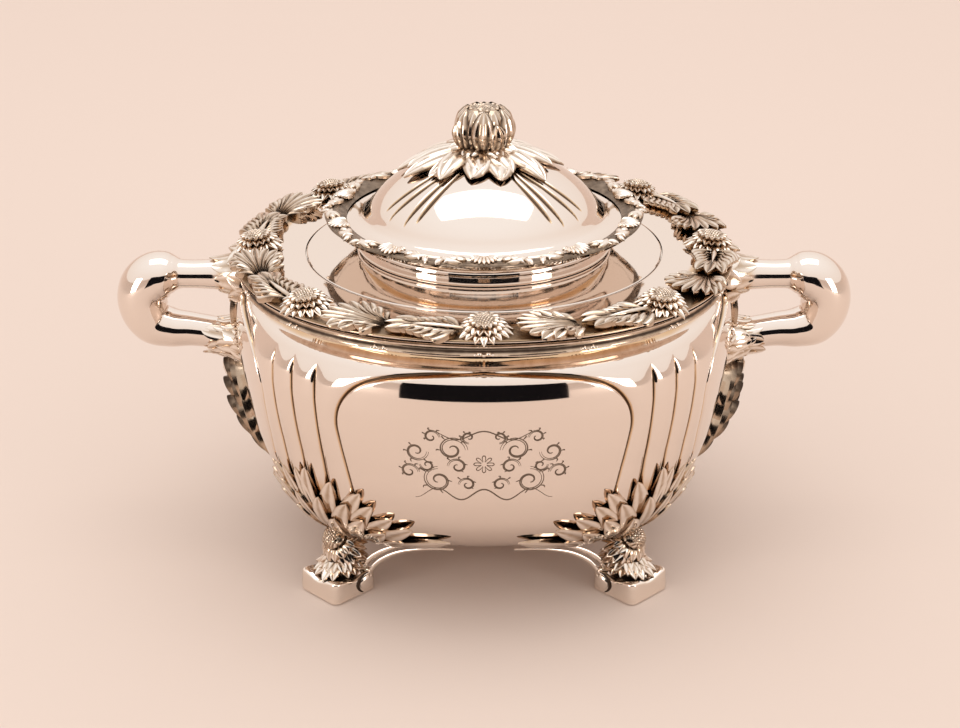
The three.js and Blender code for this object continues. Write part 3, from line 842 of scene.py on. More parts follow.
@dataclass
class Bowl:
    """The bowl, its top plate, the lid seat and the moulding under the rim."""

    finishes: Finishes
    floor_lift: float = 1.8
    inset: float = 2.6

    def garland_shade(self, angle: Array, z: Array) -> Array:
        """Works out the tarnish round the applied leaves: a bell at each corner's foot and down each side.

        Args:
            angle: azimuth in radians.
            z: height in millimetres.

        Returns:
            The recess value.
        """
        corner = (np.abs((np.degrees(angle) % 90.0) - 45.0)) * 122.0 * np.pi / 180.0
        foot = bell(corner / 17.0) * (1.0 - smooth_step((z - 66.0) / 14.0))
        side = np.abs((np.degrees(angle) + 90.0) % 180.0 - 90.0) * 122.0 * np.pi / 180.0
        strip = bell(side / 9.0) * (1.0 - smooth_step((z - 110.0) / 20.0)) * smooth_step((z - 40.0) / 10.0)
        return 0.6 * np.clip(foot + strip, 0.0, 1.0)

    def build_wall(self) -> bpy.types.Object:
        """Builds the bowl itself, outside and inside, as one closed shell.

        Returns:
            The new piece.
        """
        heights = np.concatenate([
            [24.35], np.linspace(24.7, 30.0, 8), np.linspace(31.5, 128.0, 52), np.linspace(129.0, 136.5, 9),
            np.linspace(137.0, 146.5, 32), np.linspace(147.2, 160.5, 18),
        ])
        angle = BOWL.columns(heights)
        z = np.repeat(heights[:, None], angle.shape[1], axis=1)
        outside = BOWL.surface(angle, z)
        _, cut = BOWL.detail(angle, z)
        # Painted shade: from 145 mm up, the wall is painted warm and darker, standing in for the shade and the
        # golden reflection under the rim. The grooves and the ground round the applied leaves carry tarnish.
        painted_rim_shade = smooth_step((z - 145.0) / 3.0)
        recess = np.clip(cut + self.garland_shade(angle, z) + 0.42 * painted_rim_shade, 0.0, 1.0)
        inside = BOWL.surface(angle[::-6], z[::-6], carved=False)
        radius = np.hypot(inside[..., 0], inside[..., 1])
        inside[..., :2] *= np.maximum((radius - self.inset) / radius, 0.05)[..., None]
        inside[..., 2] += np.where(z[::-6] < 60.0, self.floor_lift * (1.0 - z[::-6] / 60.0) + 0.4, 0.0)
        clean = np.full(inside.shape[:2], 0.1)
        piece = Piece("bowl_wall")
        piece.add_shell(np.concatenate([outside, inside]), Wrap.ROUND, np.concatenate([recess, clean]))
        return piece.build(self.finishes.plain, crease=70.0)

    def build_plate(self) -> bpy.types.Object:
        """Builds the flat top plate, fuller over the feet, with a rolled edge.

        Returns:
            The new piece.
        """
        roll = np.linspace(-np.pi / 2, np.pi / 2, 9)
        edge = np.stack([PLATE_EDGE + 0.75 * np.cos(roll), PLATE_MIDDLE + 0.75 * np.sin(roll)], axis=-1)
        top = np.stack([np.linspace(128.0, 94.2, 26), np.full(26, PLATE_TOP)], axis=-1)
        lip = np.array([[93.6, 162.1], [93.4, 161.6], [93.4, PLATE_LOW]])
        under = np.stack([np.linspace(95.0, 128.0, 10), np.full(10, PLATE_LOW)], axis=-1)
        profile = np.concatenate([edge, top, lip, under])
        grid = turned(profile, 256, lambda a, z: rim_fullness(a) * smooth_step((profile[:, 0:1] - 96.0) / 20.0))
        wreath = smooth_step((profile[:, 0:1] - 107.0) / 6.0)
        piece = Piece("top_plate")
        piece.add_shell(grid, Wrap.BOTH, 0.75 * wreath * (profile[:, 1:2] > 161.6))
        return piece.build(self.finishes.plain)

    def build_seat(self) -> bpy.types.Object:
        """Builds the ledge ring that carries the lid.

        Returns:
            The new piece.
        """
        top = SEAT_TOP
        profile = np.array([
            [86.6, top - 8.0], [88.2, top - 8.0], [88.2, top - 2.0], [88.6, top - 1.6], [97.6, top - 1.6],
            [97.9, top - 1.3], [97.9, top], [87.2, top], [86.6, top - 0.6],
        ])
        piece = Piece("lid_seat")
        piece.add_shell(turned(profile, 192), Wrap.BOTH, 0.1)
        return piece.build(self.finishes.inside, crease=30.0)

    def build_moulding(self) -> bpy.types.Object:
        """Builds the scalloped moulding under the rim, with a small scroll knot at each scallop.

        Returns:
            The new piece.
        """
        outer = spline([
            (120.9, 155.4), (124.0, 153.6), (126.4, 153.2), (127.6, 154.4),
            (126.8, 155.6), (126.2, 157.2), (127.4, 159.2), (129.8, 160.4),
        ], 30)
        profile = np.concatenate([outer, [[126.6, 160.4], [122.6, 157.6]]])
        reach = smooth_step((profile[:, 0:1] - 122.0) / 4.0)
        wire = bell((profile[:, 1:2] - 154.0) / 1.2) * reach
        angle = np.linspace(0.0, 2 * np.pi, 384, endpoint=False)[None, :]
        radius = profile[:, 0:1] + reach * rim_fullness(angle) + 0.5 * wire * np.abs(np.cos(8.0 * angle))
        height = profile[:, 1:2] - 0.9 * wire * np.sin(8.0 * angle) ** 2
        piece = Piece("rim_moulding_scallops")
        # Partly painted shade: the base of 0.3 paints the whole moulding warm and dim as the shade under the rim;
        # the extra darkening in its groove is tarnish.
        recess = np.clip(0.7 * bell((profile[:, 1:2] - 155.8) / 0.8) + 0.3, 0.0, 1.0)
        piece.add_shell(polar(radius, angle, height), Wrap.BOTH, recess)
        for k in range(16):
            middle = np.radians(22.5 * k)
            for shift, size, drop in ((-4.2, 0.9, 0.4), (-2.2, 1.35, 0.0), (0.0, 0.9, 0.7), (2.2, 1.35, 0.0),
                                      (4.2, 0.9, 0.4)):
                a = middle + shift / 130.0
                r = 127.3 + float(rim_fullness(np.array(a)))
                bead(piece, np.array([r * np.cos(a), r * np.sin(a), 154.6 - drop]), size, 0.9, 0.0)
        return piece.build(self.finishes.chased)

    def build(self) -> None:
        """Builds the four pieces and sets them in the place of their solids."""
        for maker, node in (
            (self.build_wall, "bowl"), (self.build_plate, "shoulder_plate"),
            (self.build_seat, "lid_seat_ring"), (self.build_moulding, "rim_moulding"),
        ):
            stand_in(maker(), "tureen", node)


@dataclass
class Wreath:
    """The blossoms and the leaf sprays round the top plate."""

    finishes: Finishes
    flowers: int = 8
    radius: float = 119.5
    centre_height: float = 166.6

    def blossom(self, number: int) -> bpy.types.Object:
        """Builds one many-petalled blossom: three rings of pointed petals and a seed button.

        Args:
            number: its place round the rim, from 1.

        Returns:
            The new piece.
        """
        azimuth = 360.0 / self.flowers * (number - 1)
        a = np.radians(azimuth)
        r = self.radius + float(rim_fullness(np.array(a)))
        centre = (r * np.cos(a), r * np.sin(a), self.centre_height)
        piece = Piece(f"blossom_{number}")
        rings = ((18, 5.4, 8.4, 2.0, 0.0, 0.024), (17, 4.6, 6.2, 1.9, 1.4, 0.018), (15, 4.0, 4.0, 1.6, 2.6, 0.01))
        for ring, (count, start, length, width, base, droop) in enumerate(rings):
            for k in range(count):
                turn = 360.0 * (k + 0.5 * (ring % 2)) / count
                chart = BlossomChart(centre, azimuth, turn, 7.0, droop)
                stretch = 1.0 + 0.1 * np.sin(5.0 * k + number + ring)
                Leaf(
                    (start, 0.0), 0.06 * np.sin(3.0 * k + ring), length * stretch, width, widest=0.42,
                    blunt=0.75, lift=base + 0.4, tip=base - 0.2, belly=0.8, crown=0.2, channel=0.8, curl=0.9,
                    thick=2.2 if ring == 0 else 1.5, rows=10, cols=7, shade=0.05,
                ).lay(piece, chart)
        seed_disc(piece, BlossomChart(centre, azimuth, 0.0, 7.0, 0.0), 6.4, 4.6)
        return piece.build(self.finishes.chased, crease=40.0)

    def spray(self, number: int) -> bpy.types.Object:
        """Builds a feathered leaf and a palmette, which part from each other round the rim.

        Args:
            number: the place round the rim, from 1; it follows the blossom of that number.

        Returns:
            The new piece.
        """
        piece = Piece(f"leaf_spray_{number}")
        first = 360.0 / self.flowers * (number - 1)
        self.feather(piece, RimChart(first + 41.0, 120.0))
        self.fan(piece, RimChart(first + 22.0, 119.5))
        return piece.build(self.finishes.chased, crease=40.0)

    def feather(self, piece: Piece, chart: RimChart) -> None:
        """Adds a feathered acanthus leaf: hooked lobes on both sides of a midrib, and a lobe at its tip.

        Args:
            piece: the mesh that takes it.
            chart: the rim chart at the foot of the leaf.
        """
        for k in range(5):
            for sense, length in ((-1.0, 14.5), (1.0, 16.5)):
                start = (3.0 + 4.4 * k, sense * (0.6 + 0.3 * k))
                Leaf(
                    start, sense * (1.05 - 0.1 * k), length - 1.3 * k, 3.3 - 0.12 * k,
                    bend=-sense * (0.55 - 0.05 * k), widest=0.7, blunt=0.6, lift=1.0 + 0.3 * k, tip=1.8,
                    belly=2.0, crown=0.6, channel=1.7, curl=1.5, thick=4.4, rows=14, cols=9, shade=0.05,
                ).lay(piece, chart)
        for sense, heading in ((-1.0, 0.34), (1.0, 0.4), (0.0, 0.0)):
            Leaf(
                (21.0, sense * 1.8), sense * heading, 18.0 - 2.0 * abs(sense), 3.3, bend=-sense * 0.1,
                widest=0.55, blunt=0.65, lift=2.8, tip=1.8, belly=2.0, crown=0.6, channel=1.7, curl=1.2,
                thick=4.4, rows=14, cols=9, shade=0.05,
            ).lay(piece, chart)
        Leaf(
            (-4.0, 0.0), 0.0, 30.0, 1.5, widest=0.4, lift=1.6, tip=3.0, belly=1.2, crown=1.0, curl=0.0,
            thick=5.0, rows=14, cols=5, shade=0.1,
        ).lay(piece, chart)

    def fan(self, piece: Piece, chart: RimChart) -> None:
        """Adds a palmette: channelled fingers side by side that part and curl outwards at their tips.

        Args:
            piece: the mesh that takes it.
            chart: the rim chart at the foot of the palmette.
        """
        for k in (-5, 5, -4, 4, -3, 3, -2, 2, -1, 1, 0):
            n = abs(k)
            Leaf(
                (0.4 * n, 0.8 * k), 0.085 * k, 30.5 - 0.8 * n * n, 2.2 + 0.1 * n, bend=0.2 * k - 0.016 * k * n,
                widest=0.76, blunt=0.55, lift=1.2, tip=2.6, belly=2.2 - 0.15 * n, crown=0.5, channel=1.7,
                curl=1.9, thick=4.6, rows=18, cols=9, shade=0.05,
            ).lay(piece, chart)
        for sense in (-1.0, 1.0):
            Leaf(
                (0.0, sense * 3.6), sense * 0.7, 11.0, 2.9, bend=sense * 0.5, widest=0.6, lift=1.4, tip=1.6,
                belly=1.5, crown=0.5, channel=1.3, curl=1.2, thick=5.0, rows=12, cols=7, shade=0.05,
            ).lay(piece, chart)

    def build(self) -> None:
        """Builds every blossom and spray."""
        for number in range(1, self.flowers + 1):
            stand_in(self.blossom(number), "tureen", f"rim_flower_{number}")
            stand_in(self.spray(number), "tureen", f"rim_leaves_{number}")


@dataclass
class Feet:
    """Four scroll pads, each with a blossom on its knee and leaves up the bowl's corner."""

    finishes: Finishes
    offset: float = 76.2
    half_pad: float = 14.2
    core: tuple[tuple[float, float, float], ...] = (
        (105.8, 9.0, 5.8), (104.5, 14.0, 5.4), (101.5, 19.0, 5.4), (98.5, 24.0, 6.0), (96.5, 30.0, 7.2),
        (95.6, 36.0, 9.6), (95.0, 42.0, 12.0),
    )

    @property
    def reach(self) -> float:
        """Returns the distance of a pad's centre from the axis."""
        return self.offset * np.sqrt(2.0)

    def pad(self, corner: Corner) -> bpy.types.Object:
        """Builds a rounded square pad with dished sides, raised corners and a scroll at each side.

        The outline is the superellipse of the ninth power, and it turns to a circle higher up.

        Args:
            corner: where the foot stands.

        Returns:
            The new piece.
        """
        a = np.radians(corner.value)
        levels = spline([
            (0.86, 0.0), (0.97, 0.5), (1.0, 1.8), (1.0, 6.2), (0.985, 8.2), (0.93, 9.6), (0.84, 10.0),
            (0.72, 9.3), (0.6, 9.4), (0.5, 11.4), (0.42, 15.0), (0.4, 19.0),
        ], 44)
        t = np.linspace(0.0, 2 * np.pi, 96, endpoint=False)[None, :]
        c, s = np.cos(t), np.sin(t)
        square = 1.0 / (np.abs(c) ** 9 + np.abs(s) ** 9) ** (1.0 / 9.0)
        blend = smooth_step((levels[:, 0:1] - 0.5) / 0.4)
        r = self.half_pad * levels[:, 0:1] * (blend * square + (1.0 - blend))
        from_middle = np.abs((np.degrees(t) + 45.0) % 90.0 - 45.0)
        dish = 1.1 * bell((levels[:, 1:2] - 5.0) / 3.2) * bell(from_middle / 16.0)
        r = r - 0.45 * dish
        x, y = r * c, r * s
        lift = 2.6 * smooth_step((levels[:, 1:2] - 3.0) / 6.0) * (np.abs(c * s) * 2.0) ** 2 * (levels[:, 0:1] > 0.7)
        piece = Piece(f"foot_pad_scroll_{corner.name}")
        recess = np.clip(smooth_step((0.8 - levels[:, 0:1]) / 0.2) * 0.9, 0.0, 1.0)
        piece.add_shell(swing(self.reach + x, y, levels[:, 1:2] + lift, a), Wrap.ROUND, recess)
        for sense in (-1.0, 1.0):
            self.scroll(piece, a, sense)
        return piece.build(self.finishes.chased, crease=60.0)

    def scroll(self, piece: Piece, a: float, sense: float) -> None:
        """Adds an oval boss on the inner end of a pad's side face, in a dark C-shaped groove.

        Args:
            piece: the mesh that takes it.
            a: azimuth of the foot in radians.
            sense: which side face, -1 or 1.
        """
        t, p = np.meshgrid(np.linspace(0.0, np.pi, 14), np.linspace(0.0, 2 * np.pi, 28, endpoint=False),
                           indexing="ij")
        x = self.reach - 7.6 + 4.7 * np.sin(t) * np.cos(p)
        y = sense * (self.half_pad - 0.3 + 1.5 * np.cos(t))
        z = 6.4 + 4.4 * np.sin(t) * np.sin(p)
        piece.add_shell(swing(x, y, z, a), Wrap.ROUND, 0.04)
        turn = np.linspace(-0.35 * np.pi, 0.55 * np.pi, 30)
        face = np.full_like(turn, sense * (self.half_pad - 0.1))
        path = np.stack([-7.6 + 5.9 * np.cos(turn), face, 6.4 + 5.4 * np.sin(turn)], axis=-1)
        self.tube(piece, path, np.sin(np.linspace(0.3, np.pi - 0.3, 30)), a, 0.5, 1.0)

    def tube(self, piece: Piece, path: Array, thick: Array, a: float, flat: float, recess: float = 0.15) -> None:
        """Adds a tapering tube along a path given in the foot's own frame.

        Args:
            piece: the mesh that takes it.
            path: points outwards, sideways and up from the pad's centre.
            thick: radius at each point.
            a: azimuth of the foot in radians.
            flat: sideways flattening.
            recess: tarnish from 0 to 1.
        """
        ring = np.linspace(0.0, 2 * np.pi, 10, endpoint=False)[None, :]
        along = np.gradient(path, axis=0)
        along /= np.linalg.norm(along, axis=1, keepdims=True)
        first = np.cross(along, [0.0, 1.0, 0.0])
        first /= np.maximum(np.linalg.norm(first, axis=1, keepdims=True), 1e-6)
        second = np.cross(along, first)
        section = np.cos(ring)[..., None] * first[:, None, :] + flat * np.sin(ring)[..., None] * second[:, None, :]
        grid = path[:, None, :] + thick[:, None, None] * section
        piece.add_shell(swing(grid[..., 0] + self.reach, grid[..., 1], grid[..., 2], a), Wrap.ROUND, recess)

    def knee(self, corner: Corner) -> bpy.types.Object:
        """Builds the blossom on the knee: a domed button and four rings of petals over a round core.

        Args:
            corner: where the foot stands.

        Returns:
            The new piece.
        """
        a = np.radians(corner.value)
        piece = Piece(f"foot_blossom_petals_{corner.name}")
        out, rise, size = np.transpose(self.core)
        t = np.linspace(0.0, 2 * np.pi, 40, endpoint=False)[None, :]
        column = spline(np.stack([out, rise, size], axis=-1), 22)
        x, y = column[:, 0:1] + column[:, 2:3] * np.cos(t), column[:, 2:3] * np.sin(t)
        piece.add_shell(swing(x, y, column[:, 1:2], a), Wrap.ROUND, 0.75)
        for count, away, height, start, length, width, lift, droop, tilt in (
            (15, 106.0, 16.8, 2.0, 13.4, 3.2, 0.6, 0.018, 8.0), (15, 105.8, 20.6, 2.0, 12.0, 3.0, 0.6, 0.034, 14.0),
            (15, 107.0, 26.4, 4.6, 8.0, 2.5, 0.6, 0.06, 36.0), (15, 108.2, 29.4, 5.4, 6.0, 2.3, 1.2, 0.04, 46.0),
        ):
            hub = (away * np.cos(a), away * np.sin(a), height)
            for k in range(count):
                turn = 360.0 * (k + 0.5 * (length > 13.0)) / count
                stretch = 1.0 + 0.1 * np.sin(7.0 * k + count)
                Leaf(
                    (start, 0.0), 0.1 * np.sin(4.0 * k), length * stretch, width, widest=0.5, blunt=0.72,
                    lift=lift, tip=lift - 0.6, belly=1.2, crown=0.3, channel=0.9, curl=1.0, thick=1.9, rows=12,
                    cols=9, shade=0.02,
                ).lay(piece, BlossomChart(hub, corner.value, turn, tilt, droop))
        hub = (108.4 * np.cos(a), 108.4 * np.sin(a), 30.4)
        seed_disc(piece, BlossomChart(hub, corner.value, 0.0, 46.0, 0.0), 7.2, 6.0)
        return piece.build(self.finishes.chased, crease=40.0)

    def core_chart(self, corner: Corner) -> Chart:
        """Makes a chart round the column of the foot: sideways, measured from the outside, and up it.

        Args:
            corner: where the foot stands.

        Returns:
            The chart.
        """
        a = np.radians(corner.value)
        out, rise, size = np.transpose(self.core)

        def chart(side: Array, height: Array, up: Array) -> Array:
            """Places points on the leaning column.

            Args:
                side: length round the column.
                height: height over the floor.
                up: distance from the column.

            Returns:
                Points in millimetres.
            """
            middle = np.interp(height, rise, out)
            radius = np.interp(height, rise, size) + up
            turn = side / ROD_LEAF_RADIUS
            return swing(middle + radius * np.cos(turn), radius * np.sin(turn), height, a)

        return chart

    def leaves(self, corner: Corner) -> bpy.types.Object:
        """Builds the pointed leaves up the corner, two rows round the column, and two struts under each side.

        The longest two leaves on each side are the narrow blades along the base.

        Args:
            corner: where the foot stands.

        Returns:
            The new piece.
        """
        piece = Piece(f"foot_leaf_cluster_{corner.name}")
        up = np.pi / 2
        wall = BowlChart(corner.value, 112.0)
        paths = (
            ((13.0, 41.0), (31.5, 74.5), 4.6, 3.0), ((8.0, 40.0), (17.0, 77.0), 4.8, 3.6),
            ((1.0, 38.0), (3.6, 81.0), 4.6, 4.2),
            ((17.0, 40.0), (36.5, 68.0), 4.4, 3.4), ((22.0, 39.0), (45.0, 61.5), 4.2, 3.2),
            ((10.0, 38.0), (24.0, 67.0), 4.4, 5.4),
            ((3.0, 36.0), (8.5, 66.0), 4.4, 6.2), ((27.0, 38.0), (54.0, 57.0), 4.2, 4.4),
            ((15.0, 36.5), (31.0, 59.0), 4.2, 6.0),
            ((21.0, 36.0), (40.0, 52.5), 3.9, 5.8), ((7.0, 35.0), (15.0, 56.0), 4.2, 7.6),
            ((26.0, 35.0), (47.0, 46.0), 3.6, 5.0),
            ((30.0, 37.0), (71.0, 47.5), 2.9, 3.8), ((30.0, 34.5), (66.0, 42.5), 2.7, 2.8),
        )
        panel = np.sign(np.sin(2.0 * np.radians(corner.value)))
        for foot, end, width, rise in paths:
            lift = 0.7 * rise
            for sense in (-1.0, 1.0):
                blade = end[0] > 60.0
                tip = end if sense == panel or blade else (0.84 * end[0], end[1] - 3.0)
                Leaf.between(
                    (sense * foot[0], foot[1]), (sense * tip[0], tip[1]), width,
                    -sense * (0.12 if blade else 0.3), widest=0.5, blunt=0.6, lift=lift + 0.8, tip=lift,
                    belly=1.0, crown=0.9, channel=0.5 if blade else 1.0, curl=0.6 if blade else 1.6, thick=3.6,
                    rows=18, cols=11, shade=0.0,
                ).lay(piece, wall)
        column = self.core_chart(corner)
        for height, count, length, lift in ((35.0, 8, 13.0, 0.6), (38.5, 9, 12.0, 1.6)):
            for k in range(count):
                side = (k - (count - 1) / 2.0) * 5.4
                Leaf(
                    (side, height), up - 0.03 * side, length, 3.2, widest=0.5, blunt=0.75, lift=lift,
                    tip=lift + 0.8, belly=0.8, crown=0.4, channel=1.1, curl=1.4, thick=2.6, rows=12, cols=9,
                    shade=0.0,
                ).lay(piece, column)
        for sense in (-1.0, 1.0):
            for keys, thick in (
                (((97.0, 11.5, 9.0), (93.5, 14.5, 15.0), (88.0, 21.5, 21.0), (80.5, 35.0, 26.2),
                  (72.0, 50.0, 28.4)), 1.6),
                (((99.5, 8.0, 11.0), (94.5, 12.5, 18.5), (88.5, 20.5, 24.4), (81.5, 33.0, 28.6),
                  (74.0, 46.0, 30.2)), 1.9),
            ):
                strut = spline([(out, sense * side, rise) for out, side, rise in keys], 24)
                strut[:, 0] -= self.reach
                self.tube(piece, strut, np.linspace(thick, 0.5, 24), np.radians(corner.value), 0.8)
        return piece.build(self.finishes.chased, crease=40.0)

    def build(self) -> None:
        """Builds the three pieces of every foot."""
        for corner in Corner:
            for maker, node in ((self.pad, "foot_pad"), (self.knee, "foot_blossom"), (self.leaves, "foot_leaves")):
                stand_in(maker(corner), "tureen", f"{node}_{corner.name}")


@dataclass
class Handles:
    """Two loop handles with leaf collars, calyxes and the garland below each."""

    finishes: Finishes
    arm: float = 146.8
    low: float = 112.0
    bow: float = 181.8
    bend_share: float = 0.78
    even_out: int = 9
    stations: list[tuple[float, float, float, float]] = field(default_factory=list)

    def __post_init__(self) -> None:
        """Lists the loop's stations: outwards, up, half thickness and half width."""
        arm, low, bow = self.arm, self.low, self.bow
        self.stations = [
            (119.0, arm, 10.0, 10.0), (133.0, arm, 9.0, 9.0), (146.0, arm, 7.9, 7.9), (156.0, arm + 0.1, 7.6, 7.8),
            (160.6, arm + 0.2, 7.9, 8.2), (164.4, arm + 0.3, 10.0, 10.8), (168.8, arm + 0.1, 12.3, 13.2),
            (174.0, arm - 1.4, 13.3, 14.0), (bow - 2.2, arm - 6.2, 13.4, 14.2),
            (bow, (arm + low) / 2 + 4.6, 13.1, 14.0), (bow - 1.6, low + 13.2, 12.7, 13.6),
            (176.4, low + 7.6, 11.9, 12.8),
            (168.0, low + 4.6, 10.6, 11.4), (157.0, low + 3.6, 9.2, 9.6), (146.0, low + 2.0, 8.6, 8.8),
            (133.0, low - 0.6, 8.8, 9.0), (119.0, low - 3.6, 9.4, 9.6),
        ]

    def loop(self, samples: int, around: int, extra: float = 0.0) -> Array:
        """Sweeps an ellipse of the listed half thickness and half width along the loop.

        The inner side of the section is cut off at a share of the radius of each bend, evened
        out along the loop by a running mean, so that it never folds through itself.

        Args:
            samples: stations along the loop.
            around: points round the section.
            extra: growth of the section in millimetres.

        Returns:
            A grid of points for the handle at azimuth zero.
        """
        path = spline(self.stations, samples)
        tangent = np.gradient(path[:, :2], axis=0)
        tangent /= np.linalg.norm(tangent, axis=1, keepdims=True)
        across = np.stack([-tangent[:, 1], tangent[:, 0]], axis=-1)
        a = np.linspace(0.0, 2 * np.pi, around, endpoint=False)[None, :]
        thick, wide = path[:, 2:3] + extra, path[:, 3:4] + extra
        heading = np.unwrap(np.arctan2(tangent[:, 1], tangent[:, 0]))
        pace = np.linalg.norm(np.gradient(path[:, :2], axis=0), axis=1)
        bend = pace / np.maximum(np.abs(np.gradient(heading)), 1e-4)
        inward = np.minimum(self.bend_share * bend / thick[:, 0], 1.0)
        window = 2 * self.even_out + 1
        limit = np.convolve(np.pad(inward, self.even_out, mode="edge"), np.ones(window) / window, mode="valid")
        dx = thick * np.maximum(np.cos(a), -limit[:, None])
        dy = wide * np.sin(a)
        x = path[:, 0:1] + across[:, 0:1] * dx
        z = path[:, 1:2] + across[:, 1:2] * dx
        return np.stack([x, dy, z], axis=-1)

    @staticmethod
    def turn(grid: Array, side: Side) -> Array:
        """Turns points half round the Z axis for the left handle."""
        return grid if side is Side.right else grid * np.array([-1.0, -1.0, 1.0])

    def bar(self, side: Side) -> bpy.types.Object:
        """Builds the plain bar of the handle.

        Args:
            side: which handle.

        Returns:
            The new piece.
        """
        grid = self.turn(self.loop(340, 80), side)
        piece = Piece(f"handle_bar_{side.name}")
        out = np.abs(grid[..., 0])
        recess = 0.7 * (1.0 - smooth_step((out - 133.0) / 12.0))
        piece.add_shell(grid, Wrap.ROUND, recess)
        return piece.build(self.finishes.plain, crease=60.0)

    def arm_chart(self, side: Side, line: tuple[float, float], flare: float) -> Chart:
        """Makes a chart on an arm: along it from the body, and round it.

        Args:
            side: which handle.
            line: the arm's centre height at the body and how much it climbs over 40 mm.
            flare: how much wider the chart is at the body, in millimetres.

        Returns:
            The chart.
        """
        base, climb = line

        def chart(along: Array, around: Array, up: Array) -> Array:
            """Places points on a round bar that leaves the body and flares out towards it.

            Args:
                along: length from the body.
                around: length round the bar.
                up: distance from the bar.

            Returns:
                Points in millimetres.
            """
            radius = 8.4 + flare * bell(along / 9.0) + up
            angle = around / ROD_LEAF_RADIUS
            z = base + climb * along / 40.0 + radius * np.cos(angle)
            return self.turn(np.stack([126.0 + along, radius * np.sin(angle), z], axis=-1), side)

        return chart

    def collar(self, side: Side) -> bpy.types.Object:
        """Builds the pointed leaves that clasp the upper arm, fold over its root and hang down the wall.

        Args:
            side: which handle.

        Returns:
            The new piece.
        """
        piece = Piece(f"handle_upper_leaves_{side.name}")
        chart = self.arm_chart(side, (self.arm, 0.0), 3.0)
        for k in range(7):
            around = (k - 3) * 7.6
            length = 18.0 - 1.6 * abs(k - 3)
            Leaf(
                (1.0, around), -0.05 * (k - 3), length, 4.2, widest=0.5, blunt=0.7, lift=1.4, tip=0.2,
                belly=0.5, crown=0.4, channel=0.8, curl=0.8, thick=2.2, rows=16, cols=9, shade=0.05,
            ).lay(piece, chart)
        for k in range(9):
            around = (k - 4) * 6.3
            Leaf(
                (-6.0, around), 0.3 * (-1.0) ** k, 15.0, 3.4, bend=-0.7 * (-1.0) ** k, widest=0.55, lift=4.6,
                tip=3.0, belly=2.0, crown=0.5, channel=1.2, curl=2.0, thick=4.0, rows=14, cols=9, shade=0.0,
            ).lay(piece, chart)
        wall = BowlChart(side.value)
        down = -np.pi / 2
        for sense in (-1.0, 1.0):
            for start, lean, length, bend, lift, width in (
                ((4.0, 158.0), 0.16, 24.0, -0.5, 4.2, 3.4), ((9.0, 158.5), 0.25, 20.0, -0.9, 3.0, 3.4),
                ((6.0, 140.0), 0.1, 26.0, -0.35, 3.6, 3.0),
                ((12.0, 152.0), 0.1, 15.0, -1.2, 2.6, 2.8),
            ):
                Leaf(
                    (sense * start[0], start[1]), down + sense * lean, length, width, bend=sense * bend,
                    widest=0.5, blunt=0.75, lift=lift, tip=2.2, belly=2.0, crown=0.5, channel=1.3, curl=1.4,
                    thick=5.0, rows=16, cols=9, shade=0.0,
                ).lay(piece, wall)
        return piece.build(self.finishes.chased, crease=40.0)

    def calyx(self, side: Side) -> bpy.types.Object:
        """Builds the calyx round the lower arm: three rings of leaves from a ribbed knot at the body.

        Args:
            side: which handle.

        Returns:
            The new piece.
        """
        piece = Piece(f"handle_lower_leaves_{side.name}")
        chart = self.arm_chart(side, (self.low - 2.4, 5.0), 5.4)
        ring = 2 * np.pi * ROD_LEAF_RADIUS
        for count, start, length, width, lift in ((13, -1.0, 23.0, 3.7, 0.5), (15, -2.0, 17.0, 3.3, 1.7),
                                                  (17, -3.0, 11.0, 2.6, 3.0)):
            for k in range(count):
                around = ring * (k + 0.5 * (count % 2)) / count
                stretch = 1.0 + 0.12 * np.sin(4.0 * k + count)
                Leaf(
                    (start, around), 0.1 * np.sin(5.0 * k), length * stretch, width, bend=0.2 * np.sin(3.0 * k),
                    widest=0.7, blunt=0.5, lift=lift, tip=0.2 + 0.3 * lift, belly=1.0, crown=0.4, channel=1.1,
                    curl=1.3, thick=2.8, rows=16, cols=9, shade=0.0,
                ).lay(piece, chart)
        wall = BowlChart(side.value)
        for k in range(22):
            turn = 2 * np.pi * k / 22
            Leaf(
                (9.0 * np.cos(turn), self.low - 1.0 + 9.0 * np.sin(turn)), turn, 8.0, 1.5, widest=0.6, lift=3.2,
                tip=1.4, belly=1.0, crown=0.5, channel=0.8, curl=0.8, thick=3.6, rows=10, cols=7, shade=0.0,
            ).lay(piece, wall)
        return piece.build(self.finishes.chased, crease=40.0)

    def garland(self, side: Side) -> bpy.types.Object:
        """Builds the garland down the bowl's side: rows of three pairs of leaves, buds, a knob and a stem.

        Args:
            side: which handle.

        Returns:
            The new piece.
        """
        piece = Piece(f"side_leaf_garland_{side.name}")
        chart = BowlChart(side.value)
        down = -np.pi / 2
        for row in range(6):
            height = 100.0 - 10.4 * row
            scale = 1.0 - 0.05 * row
            swell = 1.0 + 0.4 * np.sin(np.pi * min(row / 4.4, 1.0))
            for sense in (-1.0, 1.0):
                wild = 0.14 * np.sin(3.0 * row + sense)
                for lean, length, width, lift in ((1.0, 27.0, 4.8, 5.0), (0.55, 23.0, 4.4, 9.5),
                                                  (0.12, 17.0, 4.0, 13.0)):
                    Leaf(
                        (sense * 1.8, height + 1.5 * sense), down + sense * lean + wild, length * scale,
                        width * scale, bend=-sense * 0.4, widest=0.42, blunt=0.8, lift=lift * scale * swell,
                        tip=(1.6 + 0.4 * lift) * scale * swell, belly=1.6, crown=0.4, channel=1.7, curl=2.0,
                        thick=2.0 + 1.3 * lift, rows=16, cols=9, shade=0.02,
                    ).lay(piece, chart)
        for height in (96.0, 82.0, 68.0, 56.0):
            Leaf(
                (0.0, height + 4.0), down, 13.0, 3.4, widest=0.5, lift=12.4 - 0.07 * (96.0 - height),
                tip=9.4 - 0.09 * (96.0 - height), belly=1.6, crown=1.6, rib=0.4, ribs=3, curl=0.2, thick=8.0,
                rows=12, cols=9, shade=0.1,
            ).lay(piece, chart)
        knob = chart(np.array(0.0), np.array(101.0), np.array(9.5))
        bead(piece, knob, 3.4, 0.9, 0.2)
